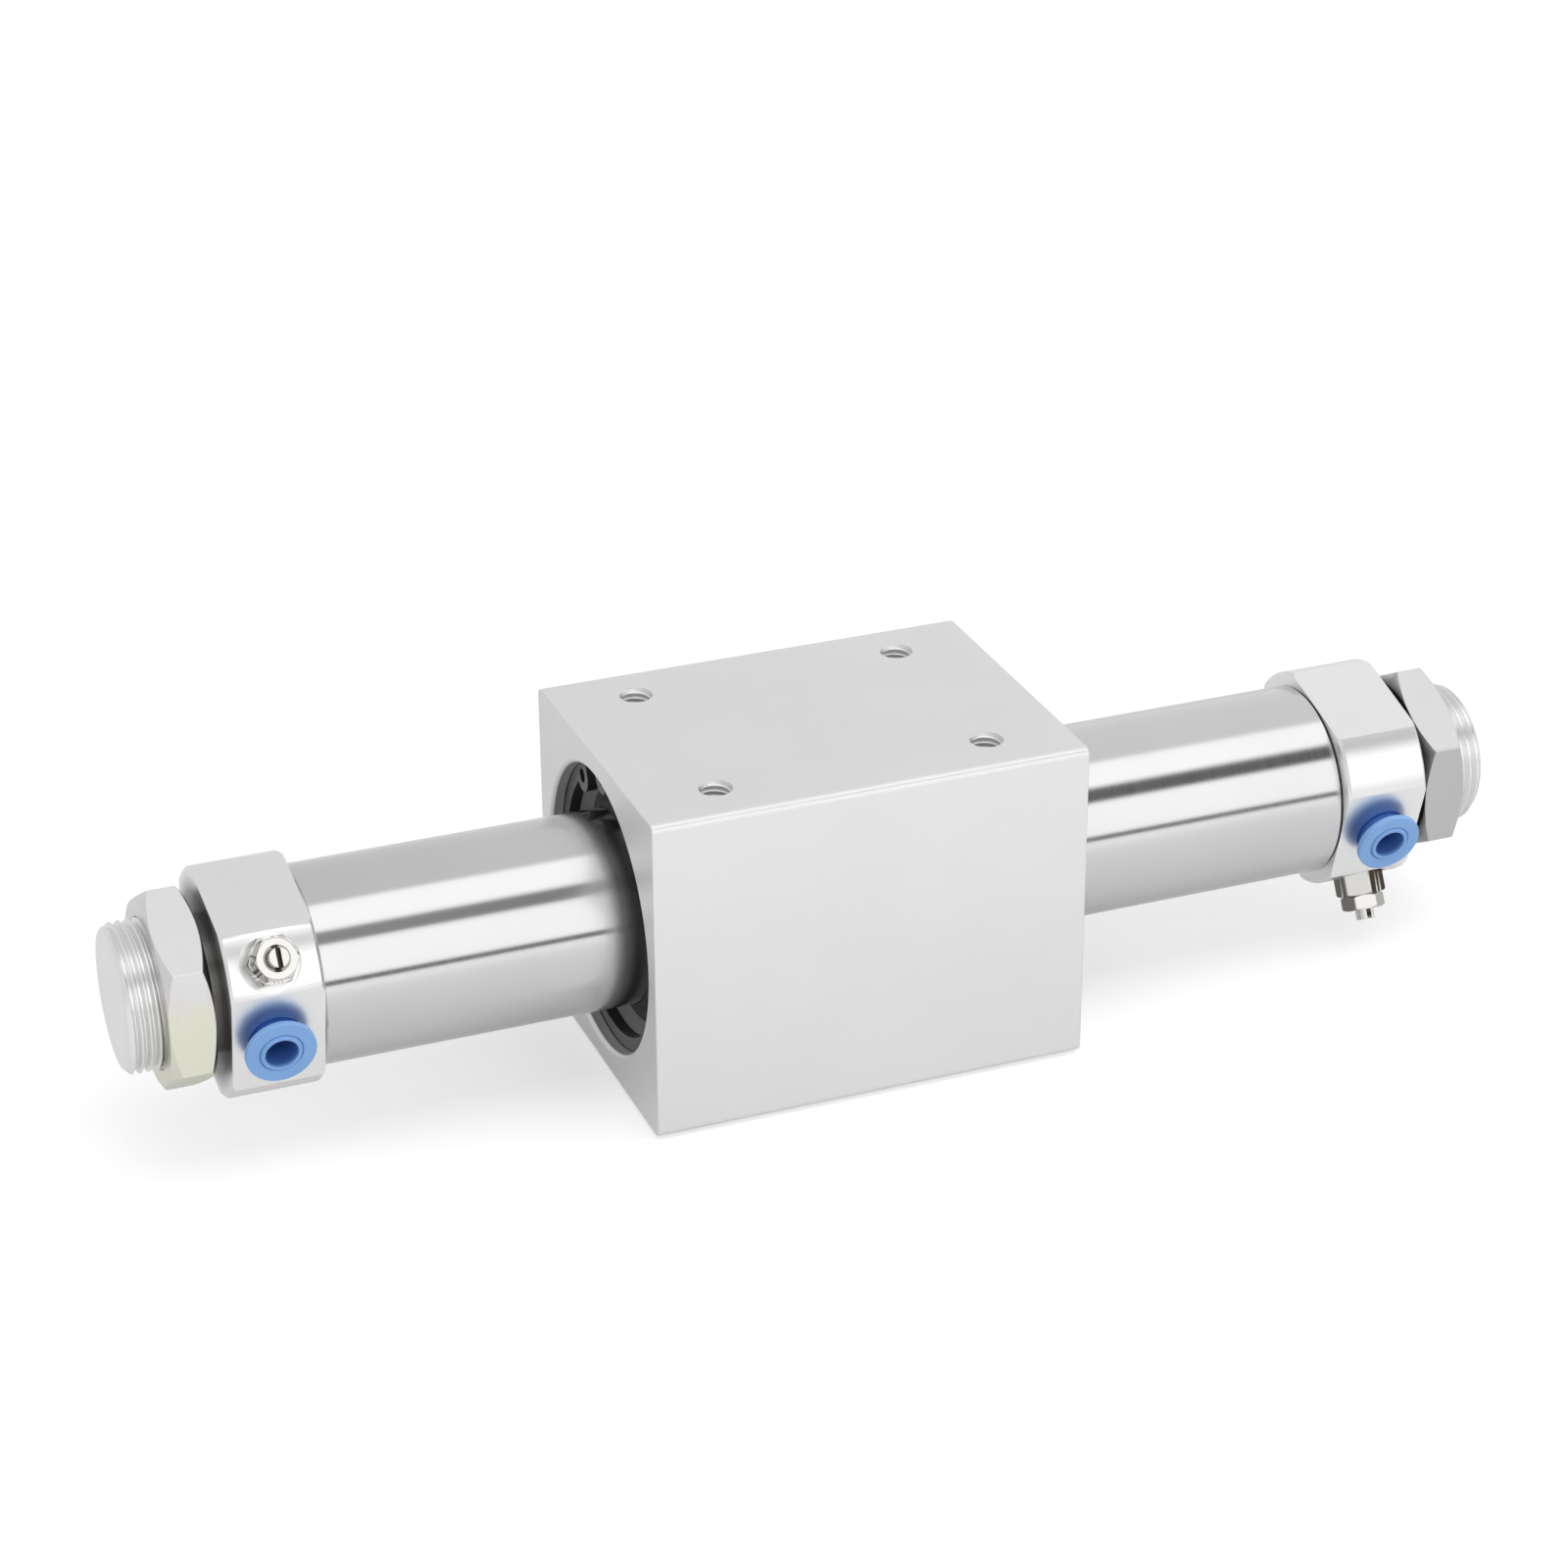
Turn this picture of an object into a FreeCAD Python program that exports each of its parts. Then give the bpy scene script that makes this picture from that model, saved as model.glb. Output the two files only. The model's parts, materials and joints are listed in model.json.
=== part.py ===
import FreeCAD, Part
import math
import os

import Sketcher

# Magnetically coupled rodless cylinder, 32 mm bore and 100 mm stroke, in millimetres.
# X runs along the tube, -Y is the side that carries the ports, and +Z is the mounting face of the block.
# The origin is on the tube's axis, midway between the two head covers.
# Turned pieces are drawn as half sections: first number along the axis, second number away from it.
# A piece on a cross hole of a cover is drawn with its axis along X, then stood on the cylinder's axis.
# Threads are plain: a free one at its crest, and two engaged ones where they meet, at the pitch line.

doc = FreeCAD.newDocument("rodless_cylinder")
sizes = doc.addObject("Spreadsheet::Sheet", "Sizes")

# Driving dimensions
DRIVING = [
    ("stroke_length", 100, "travel of the slider between the covers"),
    ("slider_offset", 2, "how far the slider stands to the left of the middle"),
    ("travel_margin", 6, "room left between block and cover at the end of the stroke"),
    ("tube_outer_diameter", 35, "stainless tube"),
    ("tube_wall", 1.5, "wall of the tube"),
    ("block_length", 80, "slider block along the tube"),
    ("sleeve_room", 8.5, "tube to the block's bore, which holds the outer magnets"),
    ("block_side_wall", 4, "bore to each side of the block"),
    ("block_face_wall", 4, "bore to the mounting face and to the rest face"),
    ("block_edge_radius", 1.5, "rounded long edges"),
    ("bore_mouth_chamfer", 0.5, "chamfer on each mouth of the block's bore"),
    ("mount_spacing_long", 50, "tapped holes along the tube"),
    ("mount_spacing_cross", 40, "tapped holes across the tube"),
    ("mount_drill_diameter", 5, "core of an M6 thread"),
    ("mount_sink_diameter", 6, "countersink of an M6 thread"),
    ("mount_hole_depth", 9, "depth of the tapped holes"),
    ("snap_inset", 2.5, "block face to retaining ring"),
    ("snap_thickness", 2, "retaining ring"),
    ("snap_groove_depth", 1.1, "groove below the block's bore"),
    ("snap_band", 2.6, "radial width of the ring inside the bore"),
    ("snap_lug_radius", 2.9, "round lug at each end of the ring"),
    ("snap_eye_radius", 1.3, "pliers hole in a lug"),
    ("snap_gap", 5, "opening between the lugs"),
    ("snap_turn", 22, "degrees from the top to the ring's opening, towards the back"),
    ("end_ring_length", 12, "ring that holds wear ring and scraper"),
    ("end_ring_dish", 1.6, "dished face of the end ring"),
    ("end_ring_gap", 0.3, "end ring to tube"),
    ("slider_wear_inset", 1.5, "outer wear ring from the magnet stack"),
    ("slider_wear_length", 6, "outer wear ring"),
    ("slider_wear_thickness", 1.6, "outer wear ring"),
    ("scraper_depth", 3.2, "scraper seat in the end ring"),
    ("scraper_width", 3.6, "radial width of the scraper"),
    ("scraper_lip_thickness", 0.9, "lip of the scraper"),
    ("scraper_lip_reach", 0.8, "lip beyond the end ring"),
    ("yoke_length", 4.2, "steel yoke, inner and outer"),
    ("outer_yoke_gap", 0.5, "tube to outer yoke"),
    ("outer_magnet_gap", 0.8, "tube to outer magnet"),
    ("inner_yoke_gap", 0.6, "inner yoke to tube"),
    ("inner_magnet_gap", 0.9, "inner magnet to tube"),
    ("cover_diameter", 40, "turned body of a head cover"),
    ("cover_flat_width", 35, "across its wrench flats"),
    ("cover_length", 16, "body of a head cover along the tube"),
    ("left_cover_turn", 12, "degrees that the left port faces below the front"),
    ("right_cover_turn", 16, "degrees that the right port faces below the front"),
    ("left_nut_turn", 25, "degrees that a corner of the left nut stands below the front"),
    ("right_nut_turn", 31, "degrees that a corner of the right nut stands below the front"),
    ("needle_angle", 45, "degrees from port to needle, round the cover"),
    ("edge_break", 0.5, "small chamfer on turned edges"),
    ("nose_diameter", 26, "M26 x 1.5 threaded nose"),
    ("nose_length", 16, "nose beyond the cover"),
    ("nose_chamfer", 1, "lead of the nose thread"),
    ("thread_pitch", 1.5, "thread of the nose"),
    ("pitch_line_depth", 0.325, "crest of a thread to its pitch line, as a share of the pitch"),
    ("neck_diameter", 24, "thread relief behind the nose"),
    ("nut_stand_off", 2, "cover to mounting nut"),
    ("nut_width", 32, "mounting nut across flats"),
    ("nut_length", 8, "mounting nut along the nose"),
    ("nut_face_share", 0.99, "bearing face of a nut over its width across flats"),
    ("tube_joint", 0.2, "open joint between tube and cover"),
    ("tube_end_chamfer", 0.3, "outer edge of the tube's ends"),
    ("spigot_reach", 6, "spigot inside the tube, which also stops the piston"),
    ("gasket_section", 1.6, "ring section of the tube gasket"),
    ("gasket_inset", 1.5, "spigot's face to the gasket groove"),
    ("chamber_diameter", 14, "cushion chamber"),
    ("chamber_depth", 18.5, "cushion chamber from the spigot's face"),
    ("cushion_seal_length", 3, "cushion seal in the chamber's mouth"),
    ("cushion_seal_inset", 1.5, "spigot's face to cushion seal"),
    ("cushion_seal_depth", 1.6, "cushion seal beyond the chamber's wall"),
    ("port_diameter", 9.7, "core of a G1/8 port"),
    ("port_inset", 7.5, "cover's outer face to the port's axis"),
    ("port_depth", 8.5, "threaded depth of the port"),
    ("passage_diameter", 5, "air passage from port to chamber"),
    ("plug_flange_diameter", 12.2, "port plug"),
    ("plug_flange_height", 3.5, "cover's flat to the plug's face"),
    ("plug_flange_thickness", 1.3, "port plug"),
    ("plug_neck_diameter", 10.4, "grip groove between flange and cover"),
    ("plug_shank_length", 7, "plug inside the port"),
    ("plug_hollow_diameter", 6, "hollow of the plug"),
    ("plug_hollow_floor", 1.5, "closed end of the plug"),
    ("plug_lip_width", 0.8, "raised rim round the plug's hollow"),
    ("plug_lip_height", 0.3, "raised rim round the plug's hollow"),
    ("needle_seat_depth", 0.7, "spot face below the cover's round"),
    ("needle_seat_diameter", 10.4, "spot face"),
    ("bushing_width", 8, "needle bushing across flats"),
    ("bushing_head", 4.2, "needle bushing's hexagon"),
    ("bushing_shank_diameter", 6, "threaded shank of the bushing"),
    ("bushing_shank_length", 6, "threaded shank of the bushing"),
    ("locknut_width", 7, "needle locknut across flats"),
    ("locknut_length", 2.8, "needle locknut"),
    ("needle_diameter", 3.4, "needle screw"),
    ("needle_stand_out", 1.9, "screw beyond its locknut"),
    ("needle_cone_length", 2.4, "tapered tip of the screw"),
    ("needle_tip_entry", 0.6, "tip inside the orifice as set"),
    ("needle_tip_radius", 0.3, "blunt end of the tip"),
    ("needle_slot_width", 0.8, "screwdriver slot"),
    ("needle_slot_depth", 1, "screwdriver slot"),
    ("drill_overlap", 1, "how far the cross holes break into the cushion chamber"),
    ("orifice_radius", 1, "throttled hole below the needle"),
    ("orifice_length", 4.5, "throttled hole below the needle"),
    ("valve_step", 0.6, "floor of the needle's chamber to the bleed hole"),
    ("valve_gap", 0.3, "round the needle in its chamber"),
    ("bleed_radius", 0.9, "hole from the tube to the needle"),
    ("piston_gap", 0.3, "piston head to tube"),
    ("piston_wear_length", 4.5, "inner wear ring"),
    ("piston_wear_thickness", 1.2, "inner wear ring"),
    ("piston_seal_length", 3.2, "lip seal"),
    ("piston_seal_depth", 2.6, "lip seal"),
    ("piston_seal_lip", 0.7, "each lip of the seal"),
    ("piston_land", 1.7, "plain land beside each groove of the piston head"),
    ("bumper_thickness", 3, "soft stop on the piston head"),
    ("bumper_edge_inset", 2, "bumper below the piston head's edge"),
    ("end_gap", 0.2, "piston to cover at the end of the stroke"),
    ("shaft_diameter", 8, "piston shaft"),
    ("plunger_diameter", 12.4, "cushion plunger"),
    ("plunger_reach", 12, "plunger beyond the bumper"),
    ("plunger_cap", 4, "closed end of the plunger"),
    ("plunger_chamfer", 1, "lead of the plunger"),
    ("seal_gap", 0.1, "seals, wear rings and scrapers to what they slide on"),
    ("seat_gap", 0.05, "pieces to the seats that hold them"),
]

# Sizes worked out from the driving ones
DERIVED = [
    ("tube_radius", "=tube_outer_diameter / 2"),
    ("tube_bore_radius", "=tube_radius - tube_wall"),
    ("block_bore_radius", "=tube_radius + sleeve_room"),
    ("block_width", "=2 * (block_bore_radius + block_side_wall)"),
    ("block_height", "=2 * (block_bore_radius + block_face_wall)"),
    ("half_block", "=block_length / 2"),
    ("block_top", "=block_height / 2"),
    ("snap_outer_face", "=half_block - snap_inset"),
    ("snap_inner_face", "=snap_outer_face - snap_thickness"),
    ("snap_groove_radius", "=block_bore_radius + snap_groove_depth"),
    ("snap_inside_radius", "=block_bore_radius - snap_band"),
    ("snap_lug_place", "=block_bore_radius - snap_lug_radius - seat_gap"),
    ("snap_half_gap", "=snap_gap / 2"),
    ("snap_lug_side", "=snap_half_gap + snap_lug_radius"),
    ("half_stack", "=snap_inner_face - end_ring_length"),
    ("magnet_length", "=(2 * half_stack - 5 * yoke_length) / 4"),
    ("stack_pitch", "=magnet_length + yoke_length"),
    ("liner_radius", "=block_bore_radius - seat_gap"),
    ("outer_yoke_radius", "=tube_radius + outer_yoke_gap"),
    ("outer_magnet_radius", "=tube_radius + outer_magnet_gap"),
    ("slide_radius", "=tube_radius + seal_gap"),
    ("slider_wear_radius", "=slide_radius + slider_wear_thickness"),
    ("slider_wear_start", "=half_stack + slider_wear_inset"),
    ("slider_wear_end", "=slider_wear_start + slider_wear_length"),
    ("scraper_radius", "=slide_radius + scraper_width"),
    ("scraper_floor", "=snap_inner_face - scraper_depth"),
    ("scraper_lip_radius", "=slide_radius + scraper_lip_thickness"),
    ("scraper_lip_end", "=snap_inner_face + scraper_lip_reach"),
    ("scraper_back", "=snap_inner_face - end_ring_dish"),
    ("end_ring_radius", "=tube_radius + end_ring_gap"),
    ("cover_inner_face", "=stroke_length / 2 + half_block + travel_margin"),
    ("cover_outer_face", "=cover_inner_face + cover_length"),
    ("cover_radius", "=cover_diameter / 2"),
    ("flat_radius", "=cover_flat_width / 2"),
    ("port_station", "=cover_outer_face - port_inset"),
    ("nose_radius", "=nose_diameter / 2"),
    ("nose_end", "=cover_outer_face + nose_length"),
    ("neck_radius", "=neck_diameter / 2"),
    ("neck_end", "=cover_outer_face + nut_stand_off"),
    ("nut_outer_face", "=neck_end + nut_length"),
    ("engaged_radius", "=nose_radius - pitch_line_depth * thread_pitch"),
    ("nut_bore_radius", "=engaged_radius + seat_gap"),
    ("nut_corner_radius", "=nut_width / sqrt(3)"),
    ("nut_face_radius", "=nut_width / 2 * nut_face_share"),
    ("nut_chamfer", "=(nut_corner_radius + seat_gap - nut_face_radius) / sqrt(3)"),
    ("tube_end", "=cover_inner_face - tube_joint"),
    ("stop_face", "=cover_inner_face - spigot_reach"),
    ("spigot_radius", "=tube_bore_radius - seat_gap"),
    ("gasket_groove_start", "=stop_face + gasket_inset"),
    ("gasket_groove_end", "=gasket_groove_start + gasket_section + 2 * seat_gap"),
    ("gasket_groove_radius", "=spigot_radius - gasket_section"),
    ("chamber_radius", "=chamber_diameter / 2"),
    ("chamber_end", "=stop_face + chamber_depth"),
    ("cushion_groove_start", "=stop_face + cushion_seal_inset"),
    ("cushion_groove_end", "=cushion_groove_start + cushion_seal_length"),
    ("cushion_groove_radius", "=chamber_radius + cushion_seal_depth"),
    ("plunger_radius", "=plunger_diameter / 2"),
    ("cushion_lip_radius", "=plunger_radius + seal_gap"),
    ("port_radius", "=port_diameter / 2"),
    ("port_floor", "=flat_radius - port_depth"),
    ("passage_radius", "=passage_diameter / 2"),
    ("drill_end", "=chamber_radius - drill_overlap"),
    ("clear_of_cover", "=cover_radius + nut_stand_off"),
    ("plug_shank_radius", "=port_radius - 2 * seat_gap"),
    ("plug_flange_radius", "=plug_flange_diameter / 2"),
    ("plug_inner_end", "=flat_radius - plug_shank_length"),
    ("plug_hollow_end", "=plug_inner_end + plug_hollow_floor"),
    ("plug_hollow_radius", "=plug_hollow_diameter / 2"),
    ("plug_lip_radius", "=plug_hollow_radius + plug_lip_width"),
    ("plug_face", "=flat_radius + plug_flange_height"),
    ("plug_flange_back", "=plug_face - plug_flange_thickness"),
    ("plug_neck_radius", "=plug_neck_diameter / 2"),
    ("plug_lip_face", "=plug_face + plug_lip_height"),
    ("needle_seat", "=cover_radius - needle_seat_depth"),
    ("needle_seat_radius", "=needle_seat_diameter / 2"),
    ("bushing_end", "=needle_seat - bushing_shank_length"),
    ("bushing_top", "=needle_seat + bushing_head"),
    ("bushing_corner_radius", "=bushing_width / sqrt(3)"),
    ("bushing_shank_radius", "=bushing_shank_diameter / 2"),
    ("needle_radius", "=needle_diameter / 2"),
    ("needle_bore_radius", "=needle_radius + seat_gap"),
    ("locknut_top", "=bushing_top + locknut_length"),
    ("locknut_corner_radius", "=locknut_width / sqrt(3)"),
    ("needle_top", "=locknut_top + needle_stand_out"),
    ("orifice_top", "=drill_end + orifice_length"),
    ("needle_tip", "=orifice_top - needle_tip_entry"),
    ("needle_shoulder", "=needle_tip + needle_cone_length"),
    ("valve_radius", "=needle_radius + valve_gap"),
    ("bleed_place", "=orifice_top + valve_step + bleed_radius / 2"),
    ("bleed_depth", "=port_station - stop_face"),
    ("half_piston", "=stop_face - stroke_length / 2 - end_gap"),
    ("piston_head_end", "=half_piston - bumper_thickness"),
    ("piston_radius", "=tube_bore_radius - piston_gap"),
    ("piston_slide_radius", "=tube_bore_radius - seal_gap"),
    ("piston_wear_radius", "=piston_slide_radius - piston_wear_thickness"),
    ("piston_seal_radius", "=piston_slide_radius - piston_seal_depth"),
    ("piston_wear_start", "=half_stack + piston_land"),
    ("piston_wear_end", "=piston_wear_start + piston_wear_length"),
    ("piston_seal_end", "=piston_head_end - piston_land"),
    ("piston_seal_start", "=piston_seal_end - piston_seal_length"),
    ("bumper_radius", "=piston_radius - bumper_edge_inset"),
    ("inner_yoke_radius", "=tube_bore_radius - inner_yoke_gap"),
    ("inner_magnet_radius", "=tube_bore_radius - inner_magnet_gap"),
    ("shaft_radius", "=shaft_diameter / 2"),
    ("shaft_bore_radius", "=shaft_radius + seat_gap"),
    ("plunger_tip", "=half_piston + plunger_reach"),
    ("shaft_end", "=plunger_tip - plunger_cap"),
]


def fill_sheet():
    """Write every size into the sheet, plain numbers first, with its alias and note."""
    sizes.set("A1", "size")
    sizes.set("B1", "value")
    sizes.set("C1", "note")
    row = 2
    for alias, value, note in DRIVING:
        sizes.set("A%d" % row, alias)
        sizes.set("B%d" % row, str(value))
        sizes.set("C%d" % row, note)
        sizes.setAlias("B%d" % row, alias)
        row += 1
    for alias, formula in DERIVED:
        sizes.set("A%d" % row, alias)
        sizes.set("B%d" % row, formula)
        sizes.setAlias("B%d" % row, alias)
        row += 1
    doc.recompute()


def amount(total):
    """Present value of a sum of sizes, such as 'tube_radius + seal_gap'."""
    value, sign = 0.0, 1.0
    for word in total.split():
        if word in ("+", "-"):
            sign = 1.0 if word == "+" else -1.0
        else:
            value += sign * float(sizes.get(word))
    return value


def formula(total):
    """The same sum as the document's own expression."""
    words = [word if word in ("+", "-") else "Sizes." + word for word in total.split()]
    return " ".join(words)


# Sketches

def origin_plane(body, role):
    """One of the body's own origin planes."""
    return [item for item in body.Origin.OriginFeatures if item.Role == role][0]


def flat_sketch(body, name, role):
    """Empty sketch on one of the body's origin planes."""
    sketch = body.newObject("Sketcher::SketchObject", name)
    sketch.AttachmentSupport = (origin_plane(body, role), "")
    sketch.MapMode = "FlatFace"
    return sketch


def hold(sketch, kind, geometry, point, total):
    """Dimension from the sketch's origin to a point, bound to the sheet."""
    index = sketch.addConstraint(Sketcher.Constraint(kind, -1, 1, geometry, point, amount(total)))
    sketch.setExpression("Constraints[%d]" % index, formula(total))


def outline(sketch, corners):
    """Closed outline through corners, each a pair of sums; a second sum of None lies on the axis."""
    spots = [FreeCAD.Vector(amount(along), amount(out) if out else 0.0, 0) for along, out in corners]
    count = len(spots)
    first = sketch.GeometryCount
    for index in range(count):
        sketch.addGeometry(Part.LineSegment(spots[index], spots[(index + 1) % count]), False)
    for index in range(count):
        line, following = first + index, first + (index + 1) % count
        sketch.addConstraint(Sketcher.Constraint("Coincident", line, 2, following, 1))
        along, out = corners[index]
        hold(sketch, "DistanceX", line, 1, along)
        if out:
            hold(sketch, "DistanceY", line, 1, out)
        else:
            sketch.addConstraint(Sketcher.Constraint("PointOnObject", line, 1, -1))


def round_hole(sketch, radius):
    """Circle on the sketch's origin."""
    index = sketch.addGeometry(Part.Circle(FreeCAD.Vector(), FreeCAD.Vector(0, 0, 1), amount(radius)), False)
    sketch.addConstraint(Sketcher.Constraint("Coincident", index, 3, -1, 1))
    size = sketch.addConstraint(Sketcher.Constraint("Radius", index, amount(radius)))
    sketch.setExpression("Constraints[%d]" % size, formula(radius))


def placed_circle(sketch, along, above, radius):
    """Circle at a point of the sketch."""
    centre = FreeCAD.Vector(amount(along), amount(above), 0)
    index = sketch.addGeometry(Part.Circle(centre, FreeCAD.Vector(0, 0, 1), amount(radius)), False)
    hold(sketch, "DistanceX", index, 3, along)
    hold(sketch, "DistanceY", index, 3, above)
    size = sketch.addConstraint(Sketcher.Constraint("Radius", index, amount(radius)))
    sketch.setExpression("Constraints[%d]" % size, formula(radius))


def centred_rectangle(sketch, width, height):
    """Rectangle centred on the sketch's origin."""
    across, up = amount(width) / 2, amount(height) / 2
    spots = [(-across, -up), (across, -up), (across, up), (-across, up)]
    first = sketch.GeometryCount
    for index in range(4):
        start, end = spots[index], spots[(index + 1) % 4]
        line = Part.LineSegment(FreeCAD.Vector(start[0], start[1], 0), FreeCAD.Vector(end[0], end[1], 0))
        sketch.addGeometry(line, False)
    for index in range(4):
        sketch.addConstraint(Sketcher.Constraint("Coincident", first + index, 2, first + (index + 1) % 4, 1))
        direction = "Horizontal" if index % 2 == 0 else "Vertical"
        sketch.addConstraint(Sketcher.Constraint(direction, first + index))
    sketch.addConstraint(Sketcher.Constraint("Symmetric", first, 1, first + 1, 2, -1, 1))
    for kind, line, total in (("DistanceX", first, width), ("DistanceY", first + 1, height)):
        size = sketch.addConstraint(Sketcher.Constraint(kind, line, 1, line, 2, amount(total)))
        sketch.setExpression("Constraints[%d]" % size, formula(total))


def hexagon(sketch, corner_radius):
    """Hexagon centred on the sketch's origin, with a corner on its horizontal axis."""
    reach = amount(corner_radius)
    spots = [FreeCAD.Vector(reach * math.cos(math.radians(60 * index)),
                            reach * math.sin(math.radians(60 * index)), 0) for index in range(6)]
    first = sketch.GeometryCount
    for index in range(6):
        sketch.addGeometry(Part.LineSegment(spots[index], spots[(index + 1) % 6]), False)
    circle = sketch.addGeometry(Part.Circle(FreeCAD.Vector(), FreeCAD.Vector(0, 0, 1), reach), True)
    sketch.addConstraint(Sketcher.Constraint("Coincident", circle, 3, -1, 1))
    for index in range(6):
        sketch.addConstraint(Sketcher.Constraint("Coincident", first + index, 2, first + (index + 1) % 6, 1))
        sketch.addConstraint(Sketcher.Constraint("PointOnObject", first + index, 1, circle))
        if index:
            sketch.addConstraint(Sketcher.Constraint("Equal", first, first + index))
    sketch.addConstraint(Sketcher.Constraint("PointOnObject", first, 1, -1))
    size = sketch.addConstraint(Sketcher.Constraint("Radius", circle, reach))
    sketch.setExpression("Constraints[%d]" % size, formula(corner_radius))


# Features

def new_body(label):
    """Empty body whose label names its file."""
    body = doc.addObject("PartDesign::Body", label)
    body.Label = label
    return body


def revolve(body, corners):
    """Half section turned about the body's X axis."""
    sketch = flat_sketch(body, body.Name + "_section", "XZ_Plane")
    outline(sketch, corners)
    feature = body.newObject("PartDesign::Revolution", body.Name + "_turned")
    feature.Profile = sketch
    feature.ReferenceAxis = (sketch, ["H_Axis"])
    feature.Angle = 360
    sketch.Visibility = False
    doc.recompute()
    return feature


def turn_away(body, name, corners):
    """Half section cut away about the body's X axis."""
    sketch = flat_sketch(body, name + "_section", "XZ_Plane")
    outline(sketch, corners)
    feature = body.newObject("PartDesign::Groove", name)
    feature.Profile = sketch
    feature.ReferenceAxis = (sketch, ["H_Axis"])
    feature.Angle = 360
    doc.recompute()
    return feature


def cross_bore(body, name, turn, station, steps):
    """Stepped hole square to the X axis: steps are (distance from the axis, radius) from inside out."""
    sketch = flat_sketch(body, name + "_section", "XZ_Plane")
    sketch.setExpression(".AttachmentOffset.Rotation.Axis.x", "1")
    sketch.setExpression(".AttachmentOffset.Rotation.Axis.y", "0")
    sketch.setExpression(".AttachmentOffset.Rotation.Axis.z", "0")
    sketch.setExpression(".AttachmentOffset.Rotation.Angle", "90 + " + turn)
    reach = [level for level, radius in steps]
    corners = [(station, reach[0])]
    for index, (level, radius) in enumerate(steps[:-1]):
        corners.append((station + " + " + radius, level))
        corners.append((station + " + " + radius, reach[index + 1]))
    corners.append((station, reach[-1]))
    outline(sketch, corners)
    axis = sketch.addGeometry(Part.LineSegment(FreeCAD.Vector(amount(station), amount(reach[0]), 0),
                                               FreeCAD.Vector(amount(station), amount(reach[-1]), 0)), True)
    sketch.addConstraint(Sketcher.Constraint("Coincident", axis, 1, 0, 1))
    sketch.addConstraint(Sketcher.Constraint("Coincident", axis, 2, len(corners) - 1, 1))
    feature = body.newObject("PartDesign::Groove", name)
    feature.Profile = sketch
    feature.ReferenceAxis = (sketch, ["Axis0"])
    feature.Angle = 360
    doc.recompute()
    return feature


def lift(sketch, total):
    """Move a sketch along its own normal."""
    sketch.setExpression(".AttachmentOffset.Base.z", formula(total))


def pad(body, sketch, name, length):
    """Pad of a sketch, along the sketch's normal."""
    feature = body.newObject("PartDesign::Pad", name)
    feature.Profile = sketch
    feature.setExpression("Length", formula(length))
    doc.recompute()
    return feature


def pocket(body, sketch, name, depth):
    """Pocket of a sketch, against the sketch's normal."""
    feature = body.newObject("PartDesign::Pocket", name)
    feature.Profile = sketch
    feature.setExpression("Length", formula(depth))
    doc.recompute()
    return feature


def turned(label, corners):
    """Body that is one turned section."""
    body = new_body(label)
    revolve(body, corners)
    return body


# Places

ALONG_X = "create(<<vector>>; 1; 0; 0)"
ALONG_Y = "create(<<vector>>; 0; 1; 0)"
ALONG_Z = "create(<<vector>>; 0; 0; 1)"
SIDES = ("left", "right")


def place(body, along, rotation):
    """Bind a body's placement: its distance along X and its rotation."""
    middle = "create(<<vector>>; %s; 0; 0)" % along
    body.setExpression("Placement", "create(<<placement>>; %s; %s)" % (middle, rotation))


def spin(axis, angle):
    """Rotation about an axis, as an expression."""
    return "create(<<rotation>>; %s; %s)" % (axis, angle)


def on_end(body, side, turn="0"):
    """Place a piece drawn for the right end at one end of the cylinder."""
    facing = spin(ALONG_X, turn)
    if side == "left":
        facing += " * " + spin(ALONG_Y, "180")
    place(body, "0", facing)


def on_slider(body, side, turn="0"):
    """Place a piece drawn for the right end of the slider, or of the piston inside it, at one end."""
    facing = spin(ALONG_X, turn)
    if side == "left":
        facing += " * " + spin(ALONG_Z, "180")
    place(body, "-Sizes.slider_offset", facing)


def cover_turn(side):
    """Turn of one cover about the tube, as an expression."""
    return "Sizes.%s_cover_turn" % side


def needle_turn(side):
    """Turn from the front to one cover's needle: the left cover is the right one turned end for end."""
    sign = "-" if side == "left" else "+"
    return "%s %s Sizes.needle_angle" % (cover_turn(side), sign)


def on_cross_hole(body, side, turn):
    """Stand a piece drawn along X on the cylinder's axis, pointing out of a cross hole of a cover."""
    station = "-Sizes.port_station" if side == "left" else "Sizes.port_station"
    place(body, station, spin(ALONG_X, turn) + " * " + spin(ALONG_Z, "-90"))


# Tube and head covers

def make_tube():
    """Plain tube between the covers, on their spigots, with its outer edges broken."""
    return turned("cylinder_tube", [
        ("- tube_end", "tube_bore_radius"),
        ("tube_end", "tube_bore_radius"),
        ("tube_end", "tube_radius - tube_end_chamfer"),
        ("tube_end - tube_end_chamfer", "tube_radius"),
        ("- tube_end + tube_end_chamfer", "tube_radius"),
        ("- tube_end", "tube_radius - tube_end_chamfer"),
    ])


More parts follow.
